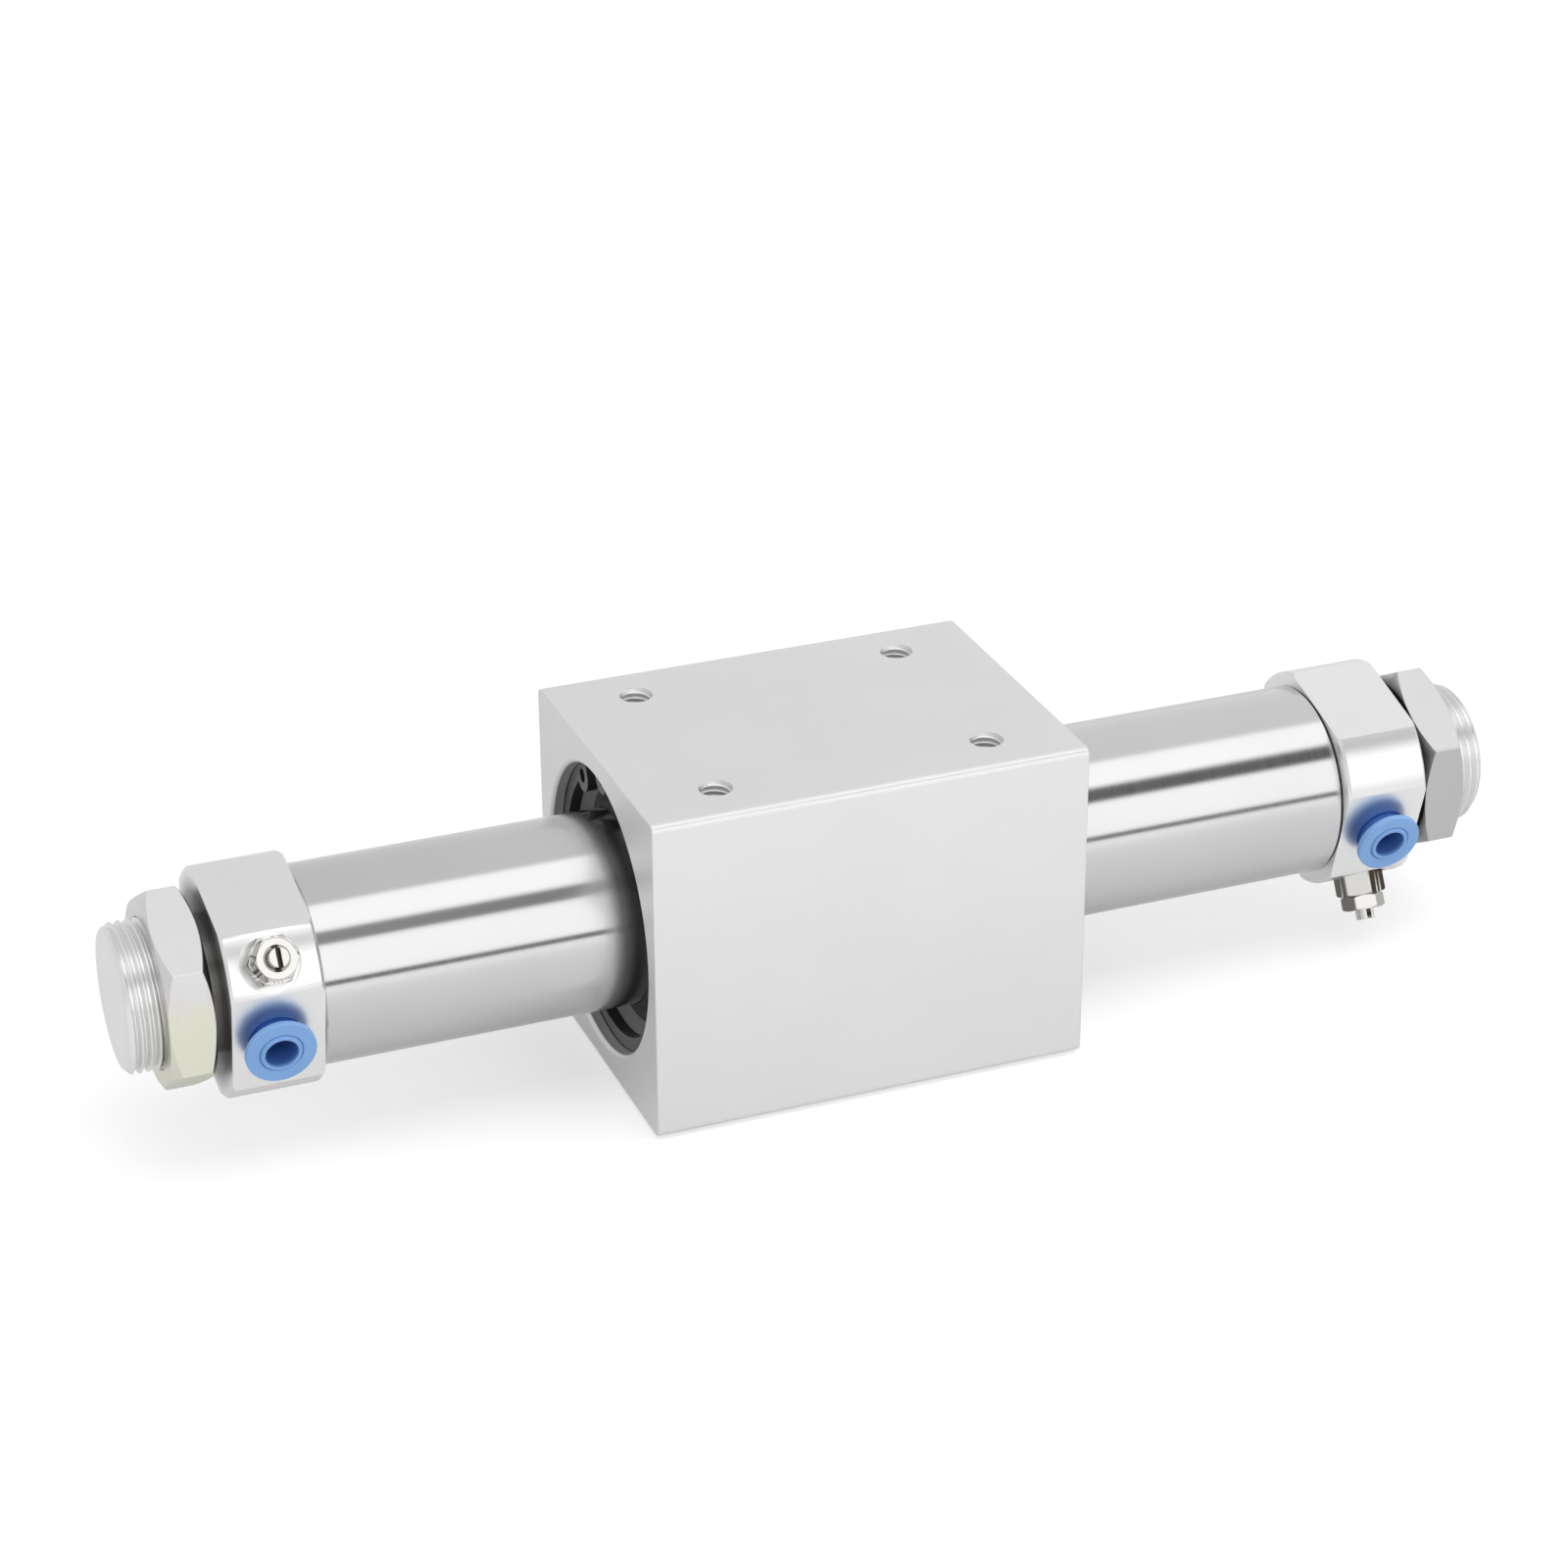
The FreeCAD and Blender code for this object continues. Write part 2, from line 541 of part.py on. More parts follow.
def make_head_cover(side):
    """Turned cover with spigot, cushion chamber, threaded nose, flats and cross holes."""
    cover = new_body("head_cover_" + side)
    revolve(cover, [
        ("stop_face", "chamber_radius"),
        ("cushion_groove_start", "chamber_radius"),
        ("cushion_groove_start", "cushion_groove_radius"),
        ("cushion_groove_end", "cushion_groove_radius"),
        ("cushion_groove_end", "chamber_radius"),
        ("chamber_end", "chamber_radius"),
        ("chamber_end", None),
        ("nose_end", None),
        ("nose_end", "nose_radius - nose_chamfer"),
        ("nose_end - nose_chamfer", "nose_radius"),
        ("nut_outer_face + seat_gap", "nose_radius"),
        ("nut_outer_face + seat_gap", "engaged_radius"),
        ("neck_end", "engaged_radius"),
        ("neck_end", "neck_radius"),
        ("cover_outer_face", "neck_radius"),
        ("cover_outer_face", "cover_radius - edge_break"),
        ("cover_outer_face - edge_break", "cover_radius"),
        ("cover_inner_face + edge_break", "cover_radius"),
        ("cover_inner_face", "cover_radius - edge_break"),
        ("cover_inner_face", "spigot_radius"),
        ("gasket_groove_end", "spigot_radius"),
        ("gasket_groove_end", "gasket_groove_radius"),
        ("gasket_groove_start", "gasket_groove_radius"),
        ("gasket_groove_start", "spigot_radius"),
        ("stop_face + edge_break", "spigot_radius"),
        ("stop_face", "spigot_radius - edge_break"),
    ])
    flats = flat_sketch(cover, "flats_%s_section" % side, "YZ_Plane")
    lift(flats, "cover_outer_face")
    round_hole(flats, "cover_diameter")
    centred_rectangle(flats, "cover_flat_width", "cover_flat_width")
    pocket(cover, flats, "wrench_flats_" + side, "cover_length")
    cross_bore(cover, "port_" + side, "0", "port_station", [
        ("drill_end", "passage_radius"),
        ("port_floor", "port_radius"),
        ("clear_of_cover", None),
    ])
    cross_bore(cover, "needle_hole_" + side, "Sizes.needle_angle", "port_station", [
        ("drill_end", "orifice_radius"),
        ("orifice_top", "valve_radius"),
        ("bushing_end", "bushing_shank_radius + seat_gap"),
        ("needle_seat", "needle_seat_radius"),
        ("clear_of_cover", None),
    ])
    bleed = flat_sketch(cover, "bleed_%s_section" % side, "YZ_Plane")
    lift(bleed, "port_station")
    circle = bleed.addGeometry(Part.Circle(FreeCAD.Vector(-1, -1, 0), FreeCAD.Vector(0, 0, 1), 1), False)
    for kind, wave in (("DistanceX", "cos"), ("DistanceY", "sin")):
        aside = bleed.addConstraint(Sketcher.Constraint(kind, -1, 1, circle, 3, -1))
        bleed.setExpression("Constraints[%d]" % aside,
                            "-Sizes.bleed_place * %s(Sizes.needle_angle * 1 deg)" % wave)
    size = bleed.addConstraint(Sketcher.Constraint("Radius", circle, 1))
    bleed.setExpression("Constraints[%d]" % size, "Sizes.bleed_radius")
    pocket(cover, bleed, "bleed_hole_" + side, "bleed_depth")
    on_end(cover, side, cover_turn(side))
    return cover


def make_ring_gasket(side):
    """Round-section ring in the spigot's groove, sealing the tube."""
    gasket = new_body("tube_gasket_" + side)
    sketch = flat_sketch(gasket, "gasket_%s_section" % side, "XZ_Plane")
    circle = sketch.addGeometry(Part.Circle(FreeCAD.Vector(1, 1, 0), FreeCAD.Vector(0, 0, 1), 1), False)
    middle = sketch.addConstraint(Sketcher.Constraint("DistanceX", -1, 1, circle, 3, 1))
    sketch.setExpression("Constraints[%d]" % middle,
                         "(Sizes.gasket_groove_start + Sizes.gasket_groove_end) / 2")
    height = sketch.addConstraint(Sketcher.Constraint("DistanceY", -1, 1, circle, 3, 1))
    sketch.setExpression("Constraints[%d]" % height,
                         "Sizes.tube_bore_radius - Sizes.gasket_section / 2")
    size = sketch.addConstraint(Sketcher.Constraint("Radius", circle, 1))
    sketch.setExpression("Constraints[%d]" % size, "Sizes.gasket_section / 2")
    feature = gasket.newObject("PartDesign::Revolution", "gasket_%s_turned" % side)
    feature.Profile = sketch
    feature.ReferenceAxis = (sketch, ["H_Axis"])
    feature.Angle = 360
    doc.recompute()
    on_end(gasket, side)
    return gasket


def make_cushion_seal(side):
    """Ring in the chamber's mouth, closed by the plunger as the piston comes in."""
    seal = turned("cushion_seal_" + side, [
        ("cushion_groove_start", "cushion_lip_radius + seal_gap"),
        ("cushion_groove_end", "cushion_lip_radius"),
        ("cushion_groove_end", "cushion_groove_radius - seat_gap"),
        ("cushion_groove_start", "cushion_groove_radius - seat_gap"),
    ])
    on_end(seal, side)
    return seal


def make_mounting_nut(side):
    """Hexagon nut on the nose, chamfered on both faces."""
    nut = new_body("mounting_nut_" + side)
    blank = flat_sketch(nut, "nut_%s_hexagon" % side, "YZ_Plane")
    lift(blank, "neck_end")
    hexagon(blank, "nut_corner_radius")
    round_hole(blank, "nut_bore_radius")
    pad(nut, blank, "nut_%s_blank" % side, "nut_length")
    for name, face, sign in (("inner", "neck_end", "+"), ("outer", "nut_outer_face", "-")):
        turn_away(nut, "nut_%s_%s_chamfer" % (side, name), [
            (face, "nut_face_radius"),
            ("%s %s nut_chamfer" % (face, sign), "nut_corner_radius + seat_gap"),
            (face, "nut_corner_radius + seat_gap"),
        ])
    on_end(nut, side, "Sizes.%s_nut_turn" % side)
    return nut


# Needle valve and port plug

def make_needle_bushing(side):
    """Hexagon bushing screwed into the cover, bored for the needle."""
    bushing = new_body("needle_bushing_" + side)
    revolve(bushing, [
        ("bushing_end", "needle_bore_radius"),
        ("bushing_end", "bushing_shank_radius"),
        ("needle_seat + seat_gap", "bushing_shank_radius"),
        ("needle_seat + seat_gap", "needle_bore_radius"),
    ])
    head = flat_sketch(bushing, "bushing_%s_hexagon" % side, "YZ_Plane")
    lift(head, "needle_seat")
    hexagon(head, "bushing_corner_radius")
    round_hole(head, "needle_bore_radius")
    pad(bushing, head, "bushing_%s_head" % side, "bushing_head")
    turn_away(bushing, "bushing_%s_chamfer" % side, [
        ("bushing_top", "bushing_corner_radius - edge_break"),
        ("bushing_top - edge_break", "bushing_corner_radius + seat_gap"),
        ("bushing_top", "bushing_corner_radius + seat_gap"),
    ])
    on_cross_hole(bushing, side, needle_turn(side))
    return bushing


def make_needle_locknut(side):
    """Small hexagon nut that locks the needle against the bushing."""
    locknut = new_body("needle_locknut_" + side)
    blank = flat_sketch(locknut, "locknut_%s_hexagon" % side, "YZ_Plane")
    lift(blank, "bushing_top")
    hexagon(blank, "locknut_corner_radius")
    round_hole(blank, "needle_bore_radius")
    pad(locknut, blank, "locknut_%s_blank" % side, "locknut_length")
    turn_away(locknut, "locknut_%s_chamfer" % side, [
        ("locknut_top", "locknut_corner_radius - edge_break"),
        ("locknut_top - edge_break", "locknut_corner_radius + seat_gap"),
        ("locknut_top", "locknut_corner_radius + seat_gap"),
    ])
    on_cross_hole(locknut, side, needle_turn(side))
    return locknut


def make_needle_screw(side):
    """Slotted screw with a tapered tip that throttles the orifice."""
    screw = new_body("needle_screw_" + side)
    revolve(screw, [
        ("needle_tip", None),
        ("needle_tip", "needle_tip_radius"),
        ("needle_shoulder", "needle_radius"),
        ("needle_top", "needle_radius"),
        ("needle_top", None),
    ])
    slot = flat_sketch(screw, "slot_%s_section" % side, "YZ_Plane")
    lift(slot, "needle_top")
    centred_rectangle(slot, "needle_slot_width", "needle_diameter + needle_diameter")
    pocket(screw, slot, "slot_" + side, "needle_slot_depth")
    on_cross_hole(screw, side, needle_turn(side))
    return screw


def make_port_plug(side):
    """Hollow plug that closes the port, with a grip groove behind its flange."""
    plug = turned("port_plug_" + side, [
        ("plug_inner_end", None),
        ("plug_inner_end", "plug_shank_radius - edge_break"),
        ("plug_inner_end + edge_break", "plug_shank_radius"),
        ("flat_radius", "plug_shank_radius"),
        ("flat_radius", "plug_neck_radius"),
        ("plug_flange_back", "plug_neck_radius"),
        ("plug_flange_back", "plug_flange_radius"),
        ("plug_face - seal_gap", "plug_flange_radius"),
        ("plug_face", "plug_flange_radius - seal_gap"),
        ("plug_face", "plug_lip_radius"),
        ("plug_lip_face", "plug_lip_radius - seal_gap"),
        ("plug_lip_face", "plug_hollow_radius"),
        ("plug_hollow_end", "plug_hollow_radius"),
        ("plug_hollow_end", None),
    ])
    on_cross_hole(plug, side, cover_turn(side))
    return plug


# Slider

def make_slider_block():
    """Square block with rounded long edges, a grooved through bore and four tapped holes."""
    block = new_body("slider_block")
    profile = flat_sketch(block, "block_section", "YZ_Plane")
    lift(profile, "half_block")
    centred_rectangle(profile, "block_width", "block_height")
    body = pad(block, profile, "block_length", "block_length")
    body.Reversed = True
    doc.recompute()
    long_edges = []
    for index, edge in enumerate(body.Shape.Edges, start=1):
        if edge.Length > amount("block_length") - amount("seat_gap") and abs(edge.tangentAt(0).x) > 0.99:
            long_edges.append("Edge%d" % index)
    rounding = block.newObject("PartDesign::Fillet", "rounded_edges")
    rounding.Base = (body, long_edges)
    rounding.setExpression("Radius", "Sizes.block_edge_radius")
    doc.recompute()
    bore = flat_sketch(block, "bore_section", "YZ_Plane")
    lift(bore, "half_block")
    round_hole(bore, "block_bore_radius")
    pocket(block, bore, "through_bore", "block_length")
    for side, turn in (("right", "0"), ("left", "180")):
        groove = flat_sketch(block, "snap_groove_%s_section" % side, "XZ_Plane")
        groove.setExpression(".AttachmentOffset.Rotation.Axis.x", "0")
        groove.setExpression(".AttachmentOffset.Rotation.Axis.y", "1")
        groove.setExpression(".AttachmentOffset.Rotation.Axis.z", "0")
        groove.setExpression(".AttachmentOffset.Rotation.Angle", turn)
        outline(groove, [
            ("snap_inner_face", "snap_inside_radius"),
            ("snap_inner_face", "snap_groove_radius"),
            ("snap_outer_face", "snap_groove_radius"),
            ("snap_outer_face", "block_bore_radius"),
            ("half_block - bore_mouth_chamfer", "block_bore_radius"),
            ("half_block", "block_bore_radius + bore_mouth_chamfer"),
            ("half_block", "snap_inside_radius"),
        ])
        cut = block.newObject("PartDesign::Groove", "snap_groove_" + side)
        cut.Profile = groove
        cut.ReferenceAxis = (groove, ["H_Axis"])
        cut.Angle = 360
        doc.recompute()
    spots = flat_sketch(block, "mount_hole_spots", "XY_Plane")
    lift(spots, "block_top")
    reach_x = amount("mount_spacing_long") / 2
    reach_y = amount("mount_spacing_cross") / 2
    first = spots.addGeometry(Part.Circle(FreeCAD.Vector(reach_x, reach_y, 0), FreeCAD.Vector(0, 0, 1),
                                          amount("mount_drill_diameter") / 2), False)
    size = spots.addConstraint(Sketcher.Constraint("Diameter", first, amount("mount_drill_diameter")))
    spots.setExpression("Constraints[%d]" % size, "Sizes.mount_drill_diameter")
    for kind, value, alias in (("DistanceX", reach_x, "mount_spacing_long"),
                               ("DistanceY", reach_y, "mount_spacing_cross")):
        aside = spots.addConstraint(Sketcher.Constraint(kind, -1, 1, first, 3, value))
        spots.setExpression("Constraints[%d]" % aside, "Sizes.%s / 2" % alias)
    doc.recompute()
    hole = block.newObject("PartDesign::Hole", "tapped_hole")
    hole.Profile = spots
    hole.Threaded = False
    hole.DepthType = "Dimension"
    hole.DrillPoint = "Flat"
    hole.HoleCutType = "Countersink"
    hole.setExpression("Diameter", "Sizes.mount_drill_diameter")
    hole.setExpression("Depth", "Sizes.mount_hole_depth")
    hole.setExpression("HoleCutDiameter", "Sizes.mount_sink_diameter")
    hole.HoleCutCountersinkAngle = 90
    doc.recompute()
    holes = block.newObject("PartDesign::MultiTransform", "four_tapped_holes")
    holes.Originals = [hole]
    mirrors = []
    for name, role in (("mirror_long", "YZ_Plane"), ("mirror_cross", "XZ_Plane")):
        mirror = block.newObject("PartDesign::Mirrored", name)
        mirror.MirrorPlane = (origin_plane(block, role), [""])
        mirrors.append(mirror)
    holes.Transformations = mirrors
    block.Tip = holes
    doc.recompute()
    place(block, "-Sizes.slider_offset", spin(ALONG_X, "0"))
    return block


def make_retaining_ring(side):
    """Internal retaining ring: an open ring in the groove with two eyed lugs."""
    ring = new_body("retaining_ring_" + side)
    band = flat_sketch(ring, "snap_%s_band" % side, "YZ_Plane")
    lift(band, "snap_inner_face")
    round_hole(band, "snap_groove_radius - seat_gap")
    round_hole(band, "snap_inside_radius")
    pad(ring, band, "snap_%s_ring" % side, "snap_thickness")
    eyes = flat_sketch(ring, "snap_%s_eyes" % side, "YZ_Plane")
    lift(eyes, "snap_outer_face")
    for name, across in (("front", "- snap_lug_side"), ("back", "snap_lug_side")):
        lug = flat_sketch(ring, "snap_%s_%s_lug" % (side, name), "YZ_Plane")
        lift(lug, "snap_inner_face")
        placed_circle(lug, across, "snap_lug_place", "snap_lug_radius")
        pad(ring, lug, "snap_%s_%s_lug_pad" % (side, name), "snap_thickness")
        placed_circle(eyes, across, "snap_lug_place", "snap_eye_radius")
    pocket(ring, eyes, "snap_%s_eye_holes" % side, "snap_thickness")
    opening = flat_sketch(ring, "snap_%s_opening" % side, "YZ_Plane")
    lift(opening, "snap_outer_face")
    outline(opening, [
        ("- snap_half_gap", "tube_radius"),
        ("snap_half_gap", "tube_radius"),
        ("snap_half_gap", "snap_groove_radius + snap_thickness"),
        ("- snap_half_gap", "snap_groove_radius + snap_thickness"),
    ])
    pocket(ring, opening, "snap_%s_gap" % side, "snap_thickness")
    on_slider(ring, side, "-Sizes.snap_turn")
    return ring


def make_end_ring(side):
    """Ring that closes the magnet stack and seats the wear ring and the scraper."""
    ring = turned("end_ring_" + side, [
        ("half_stack", "end_ring_radius"),
        ("slider_wear_start", "end_ring_radius"),
        ("slider_wear_start", "slider_wear_radius + seat_gap"),
        ("slider_wear_end", "slider_wear_radius + seat_gap"),
        ("slider_wear_end", "end_ring_radius"),
        ("scraper_floor", "end_ring_radius"),
        ("scraper_floor", "scraper_radius + seat_gap"),
        ("scraper_back", "scraper_radius + seat_gap"),
        ("snap_inner_face", "snap_inside_radius"),
        ("snap_inner_face", "liner_radius"),
        ("half_stack", "liner_radius"),
    ])
    on_slider(ring, side)
    return ring


def make_slider_wear_ring(side):
    """Plain ring that carries the slider on the tube."""
    ring = turned("slider_wear_ring_" + side, [
        ("slider_wear_start", "slide_radius"),
        ("slider_wear_end", "slide_radius"),
        ("slider_wear_end", "slider_wear_radius"),
        ("slider_wear_start", "slider_wear_radius"),
    ])
    on_slider(ring, side)
    return ring


def make_scraper(side):
    """Rubber ring whose lip wipes the tube."""
    ring = turned("scraper_" + side, [
        ("scraper_floor", "scraper_lip_radius"),
        ("scraper_lip_end", "slide_radius"),
        ("scraper_lip_end", "slide_radius + seal_gap"),
        ("scraper_back", "scraper_lip_radius + scraper_lip_thickness"),
        ("scraper_back", "scraper_radius"),
        ("scraper_floor", "scraper_radius"),
    ])
    on_slider(ring, side)
    return ring


# Magnet stacks

def make_stack_ring(label, bore, rim, thickness, start):
    """Flat ring of a magnet stack; start is its place from the stack's left end."""
    ring = new_body(label)
    sketch = flat_sketch(ring, label + "_section", "YZ_Plane")
    round_hole(sketch, rim)
    round_hole(sketch, bore)
    pad(ring, sketch, label + "_pad", thickness)
    place(ring, "-Sizes.slider_offset - Sizes.half_stack + " + start, spin(ALONG_X, "0"))
    return ring


def make_stack(name, yoke_sizes, magnet_sizes):
    """Five yokes with four magnets between them."""
    rings = []
    for index in range(5):
        label = "%s_yoke_%d" % (name, index + 1)
        start = "%d * Sizes.stack_pitch" % index
        rings.append(make_stack_ring(label, *yoke_sizes, "yoke_length", start))
    for index in range(4):
        label = "%s_magnet_%d" % (name, index + 1)
        start = "%d * Sizes.stack_pitch + Sizes.yoke_length" % index
        rings.append(make_stack_ring(label, *magnet_sizes, "magnet_length", start))
    return rings


# Piston

def make_piston_shaft():
    """Shaft through the inner stack, threaded at both ends into the plungers."""
    shaft = new_body("piston_shaft")
    sketch = flat_sketch(shaft, "shaft_section", "YZ_Plane")
    round_hole(sketch, "shaft_radius")
    feature = pad(shaft, sketch, "shaft_length", "shaft_end + shaft_end")
    feature.Midplane = True
    doc.recompute()
    place(shaft, "-Sizes.slider_offset", spin(ALONG_X, "0"))
    return shaft


def make_piston_head(side):
    """Aluminium head with a groove for its wear ring and one for its seal."""
    head = turned("piston_head_" + side, [
        ("half_stack", "shaft_bore_radius"),
        ("piston_head_end", "shaft_bore_radius"),
        ("piston_head_end", "piston_radius - edge_break"),
        ("piston_head_end - edge_break", "piston_radius"),
        ("piston_seal_end", "piston_radius"),
        ("piston_seal_end", "piston_seal_radius - seat_gap"),
        ("piston_seal_start", "piston_seal_radius - seat_gap"),
        ("piston_seal_start", "piston_radius"),
        ("piston_wear_end", "piston_radius"),
        ("piston_wear_end", "piston_wear_radius - seat_gap"),
        ("piston_wear_start", "piston_wear_radius - seat_gap"),
        ("piston_wear_start", "piston_radius"),
        ("half_stack", "piston_radius"),
    ])
    on_slider(head, side)
    return head


def make_piston_wear_ring(side):
    """Plain ring that guides the piston head in the tube."""
    ring = turned("piston_wear_ring_" + side, [
        ("piston_wear_start", "piston_wear_radius"),
        ("piston_wear_end", "piston_wear_radius"),
        ("piston_wear_end", "piston_slide_radius"),
        ("piston_wear_start", "piston_slide_radius"),
    ])
    on_slider(ring, side)
    return ring


def make_piston_seal(side):
    """Lip seal, open towards the air."""
    seal = turned("piston_seal_" + side, [
        ("piston_seal_start", "piston_seal_radius"),
        ("piston_seal_start", "piston_slide_radius - seal_gap"),
        ("piston_seal_end", "piston_slide_radius"),
        ("piston_seal_end", "piston_slide_radius - piston_seal_lip"),
        ("piston_seal_start + piston_seal_lip", "piston_seal_radius + piston_seal_lip"),
        ("piston_seal_end", "piston_seal_radius + piston_seal_lip"),
        ("piston_seal_end", "piston_seal_radius"),
    ])
    on_slider(seal, side)
    return seal


def make_bumper(side):
    """Soft stop on the face of the piston head."""
    bumper = turned("piston_bumper_" + side, [
        ("piston_head_end", "plunger_radius + seat_gap"),
        ("half_piston", "plunger_radius + seat_gap"),
        ("half_piston", "bumper_radius - edge_break"),
        ("half_piston - edge_break", "bumper_radius"),
        ("piston_head_end", "bumper_radius"),
    ])
    on_slider(bumper, side)
    return bumper


def make_plunger(side):
    """Cushion plunger and nut of the shaft, closed at its tip."""
    plunger = turned("cushion_plunger_" + side, [
        ("piston_head_end", "shaft_bore_radius"),
        ("piston_head_end", "plunger_radius"),
        ("plunger_tip - plunger_chamfer", "plunger_radius"),
        ("plunger_tip", "plunger_radius - plunger_chamfer"),
        ("plunger_tip", None),
        ("shaft_end + seat_gap", None),
        ("shaft_end + seat_gap", "shaft_bore_radius"),
    ])
    on_slider(plunger, side)
    return plunger


fill_sheet()
parts = [make_tube(), make_slider_block(), make_piston_shaft()]
for end in SIDES:
    parts.append(make_head_cover(end))
    parts.append(make_ring_gasket(end))
    parts.append(make_cushion_seal(end))
    parts.append(make_mounting_nut(end))
    parts.append(make_needle_bushing(end))
    parts.append(make_needle_locknut(end))
    parts.append(make_needle_screw(end))
    parts.append(make_port_plug(end))
    parts.append(make_retaining_ring(end))
    parts.append(make_end_ring(end))
    parts.append(make_slider_wear_ring(end))
    parts.append(make_scraper(end))
    parts.append(make_piston_head(end))
    parts.append(make_piston_wear_ring(end))
    parts.append(make_piston_seal(end))
    parts.append(make_bumper(end))
    parts.append(make_plunger(end))
parts += make_stack("outer", ("outer_yoke_radius", "liner_radius"),
                    ("outer_magnet_radius", "liner_radius - seal_gap"))
parts += make_stack("inner", ("shaft_bore_radius", "inner_yoke_radius"),
                    ("shaft_bore_radius + seal_gap", "inner_magnet_radius"))
doc.recompute()

# Every object has to be sound before anything is written

for item in doc.Objects:
    if "Invalid" in item.State or "Error" in item.State:
        raise RuntimeError("failed: %s %s" % (item.Name, item.State))
for body in parts:
    if body.Shape.isNull() or not body.Shape.isValid() or len(body.Shape.Solids) != 1:
        raise RuntimeError("not one sound solid: " + body.Label)

os.makedirs("parts", exist_ok=True)
for body in parts:
    body.Shape.exportStep("parts/%s.step" % body.Label)
print("%d pieces" % len(parts))
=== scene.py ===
"""Dress a magnetically coupled rodless cylinder for rendering.

The packed model is a fixed frame. Each sub-assembly is a class that takes its place from the frame's
nodes, works out its surfaces with numpy or smooths a copy of its own solid, and gives them a finish.
Lengths inside the classes are millimetres; meshes and the studio are in metres.
"""

import json
import logging
import math
from collections.abc import Callable
from dataclasses import dataclass, field
from enum import Enum

import bmesh
import bpy
import numpy as np
from mathutils import Matrix, Vector

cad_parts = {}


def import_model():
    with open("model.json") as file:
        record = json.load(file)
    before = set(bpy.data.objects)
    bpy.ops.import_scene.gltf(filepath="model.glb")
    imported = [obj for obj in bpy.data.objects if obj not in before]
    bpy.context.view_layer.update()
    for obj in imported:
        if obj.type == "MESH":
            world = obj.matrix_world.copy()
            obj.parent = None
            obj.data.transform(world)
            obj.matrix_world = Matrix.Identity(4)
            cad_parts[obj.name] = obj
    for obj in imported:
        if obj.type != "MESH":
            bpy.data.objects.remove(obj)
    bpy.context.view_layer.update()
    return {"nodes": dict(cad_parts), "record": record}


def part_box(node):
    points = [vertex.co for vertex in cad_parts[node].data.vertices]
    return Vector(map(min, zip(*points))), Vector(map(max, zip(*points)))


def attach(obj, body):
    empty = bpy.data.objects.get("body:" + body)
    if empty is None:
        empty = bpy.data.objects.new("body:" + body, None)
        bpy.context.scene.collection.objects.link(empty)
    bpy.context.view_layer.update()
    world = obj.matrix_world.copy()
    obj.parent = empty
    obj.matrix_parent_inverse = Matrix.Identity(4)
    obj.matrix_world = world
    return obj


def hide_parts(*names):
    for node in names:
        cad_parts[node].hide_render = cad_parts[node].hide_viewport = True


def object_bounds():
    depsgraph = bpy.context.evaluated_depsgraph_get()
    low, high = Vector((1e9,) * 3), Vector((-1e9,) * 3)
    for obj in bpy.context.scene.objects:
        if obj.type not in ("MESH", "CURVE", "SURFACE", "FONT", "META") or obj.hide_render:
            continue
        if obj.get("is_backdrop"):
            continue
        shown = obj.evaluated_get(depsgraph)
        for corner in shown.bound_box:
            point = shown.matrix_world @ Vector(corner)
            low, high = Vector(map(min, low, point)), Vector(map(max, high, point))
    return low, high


LOG = logging.getLogger("rodless_cylinder")
MM = 0.001
FULL_TURN = 2 * math.pi
WELD_DISTANCE = 1e-6

# Name of the point attribute that says how far a finish's deep colour shows: painted shade and painted
# reflections stored on the mesh.
SHADE = "shade"
# Stretches in a rounded corner of a section.
FILLET_STEPS = 5
# Degrees within which neighbouring faces of a solid's mesh are one flat face.
FLAT_WITHIN = 0.2
# How strongly large faces set the shading of the edges beside them: 50 is neutral, 100 the most.
FLAT_FACE_WEIGHT = 80
# Places within one pitch of a thread, and the share of its depth at each.
THREAD_PLACES = (0.0, 0.0625, 0.42, 0.58, 0.9375, 1.0)
THREAD_SHARES = (0.0, 0.0, 1.0, 1.0, 0.0, 0.0)
# Radii of the rings in the disc that closes a nose, as shares of the outer one.
DISC_SHARES = (1.0, 0.66, 0.33, 0.0)
# Values between which most of a noise texture lies, for fine marks and for wide clouds.
NOISE_RANGE = (0.3, 0.7)
CLOUD_RANGE = (0.35, 0.65)


class Side(Enum):
    """End of the cylinder that a piece belongs to."""

    LEFT = "left"
    RIGHT = "right"

    @property
    def sign(self) -> int:
        """Direction of this end along the X axis."""
        return -1 if self is Side.LEFT else 1

    def node(self, name: str) -> str:
        """Name of this end's copy of a node.

        Args:
            name: Node name without its end.

        Returns:
            Node name with its end.
        """
        return f"{name}_{self.value}"


# ---- Frame and grids


@dataclass(frozen=True)
class Extent:
    """Box of a frame node, in millimetres."""

    low: np.ndarray
    high: np.ndarray

    @classmethod
    def of(cls, node: str) -> "Extent":
        """Read a node's box from the frame.

        Args:
            node: Name of a frame node.

        Returns:
            The node's extent at rest.
        """
        low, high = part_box(node)
        return cls(np.array(low) / MM, np.array(high) / MM)

    @property
    def near(self) -> float:
        """Distance along X from the middle of the cylinder to the nearer end."""
        return float(min(abs(self.low[0]), abs(self.high[0])))

    @property
    def far(self) -> float:
        """Distance along X from the middle of the cylinder to the farther end."""
        return float(max(abs(self.low[0]), abs(self.high[0])))

    @property
    def half_height(self) -> float:
        """Half of the extent along Z."""
        return float(self.high[2] - self.low[2]) / 2

    @property
    def middle(self) -> np.ndarray:
        """Centre of the extent."""
        return (self.low + self.high) / 2


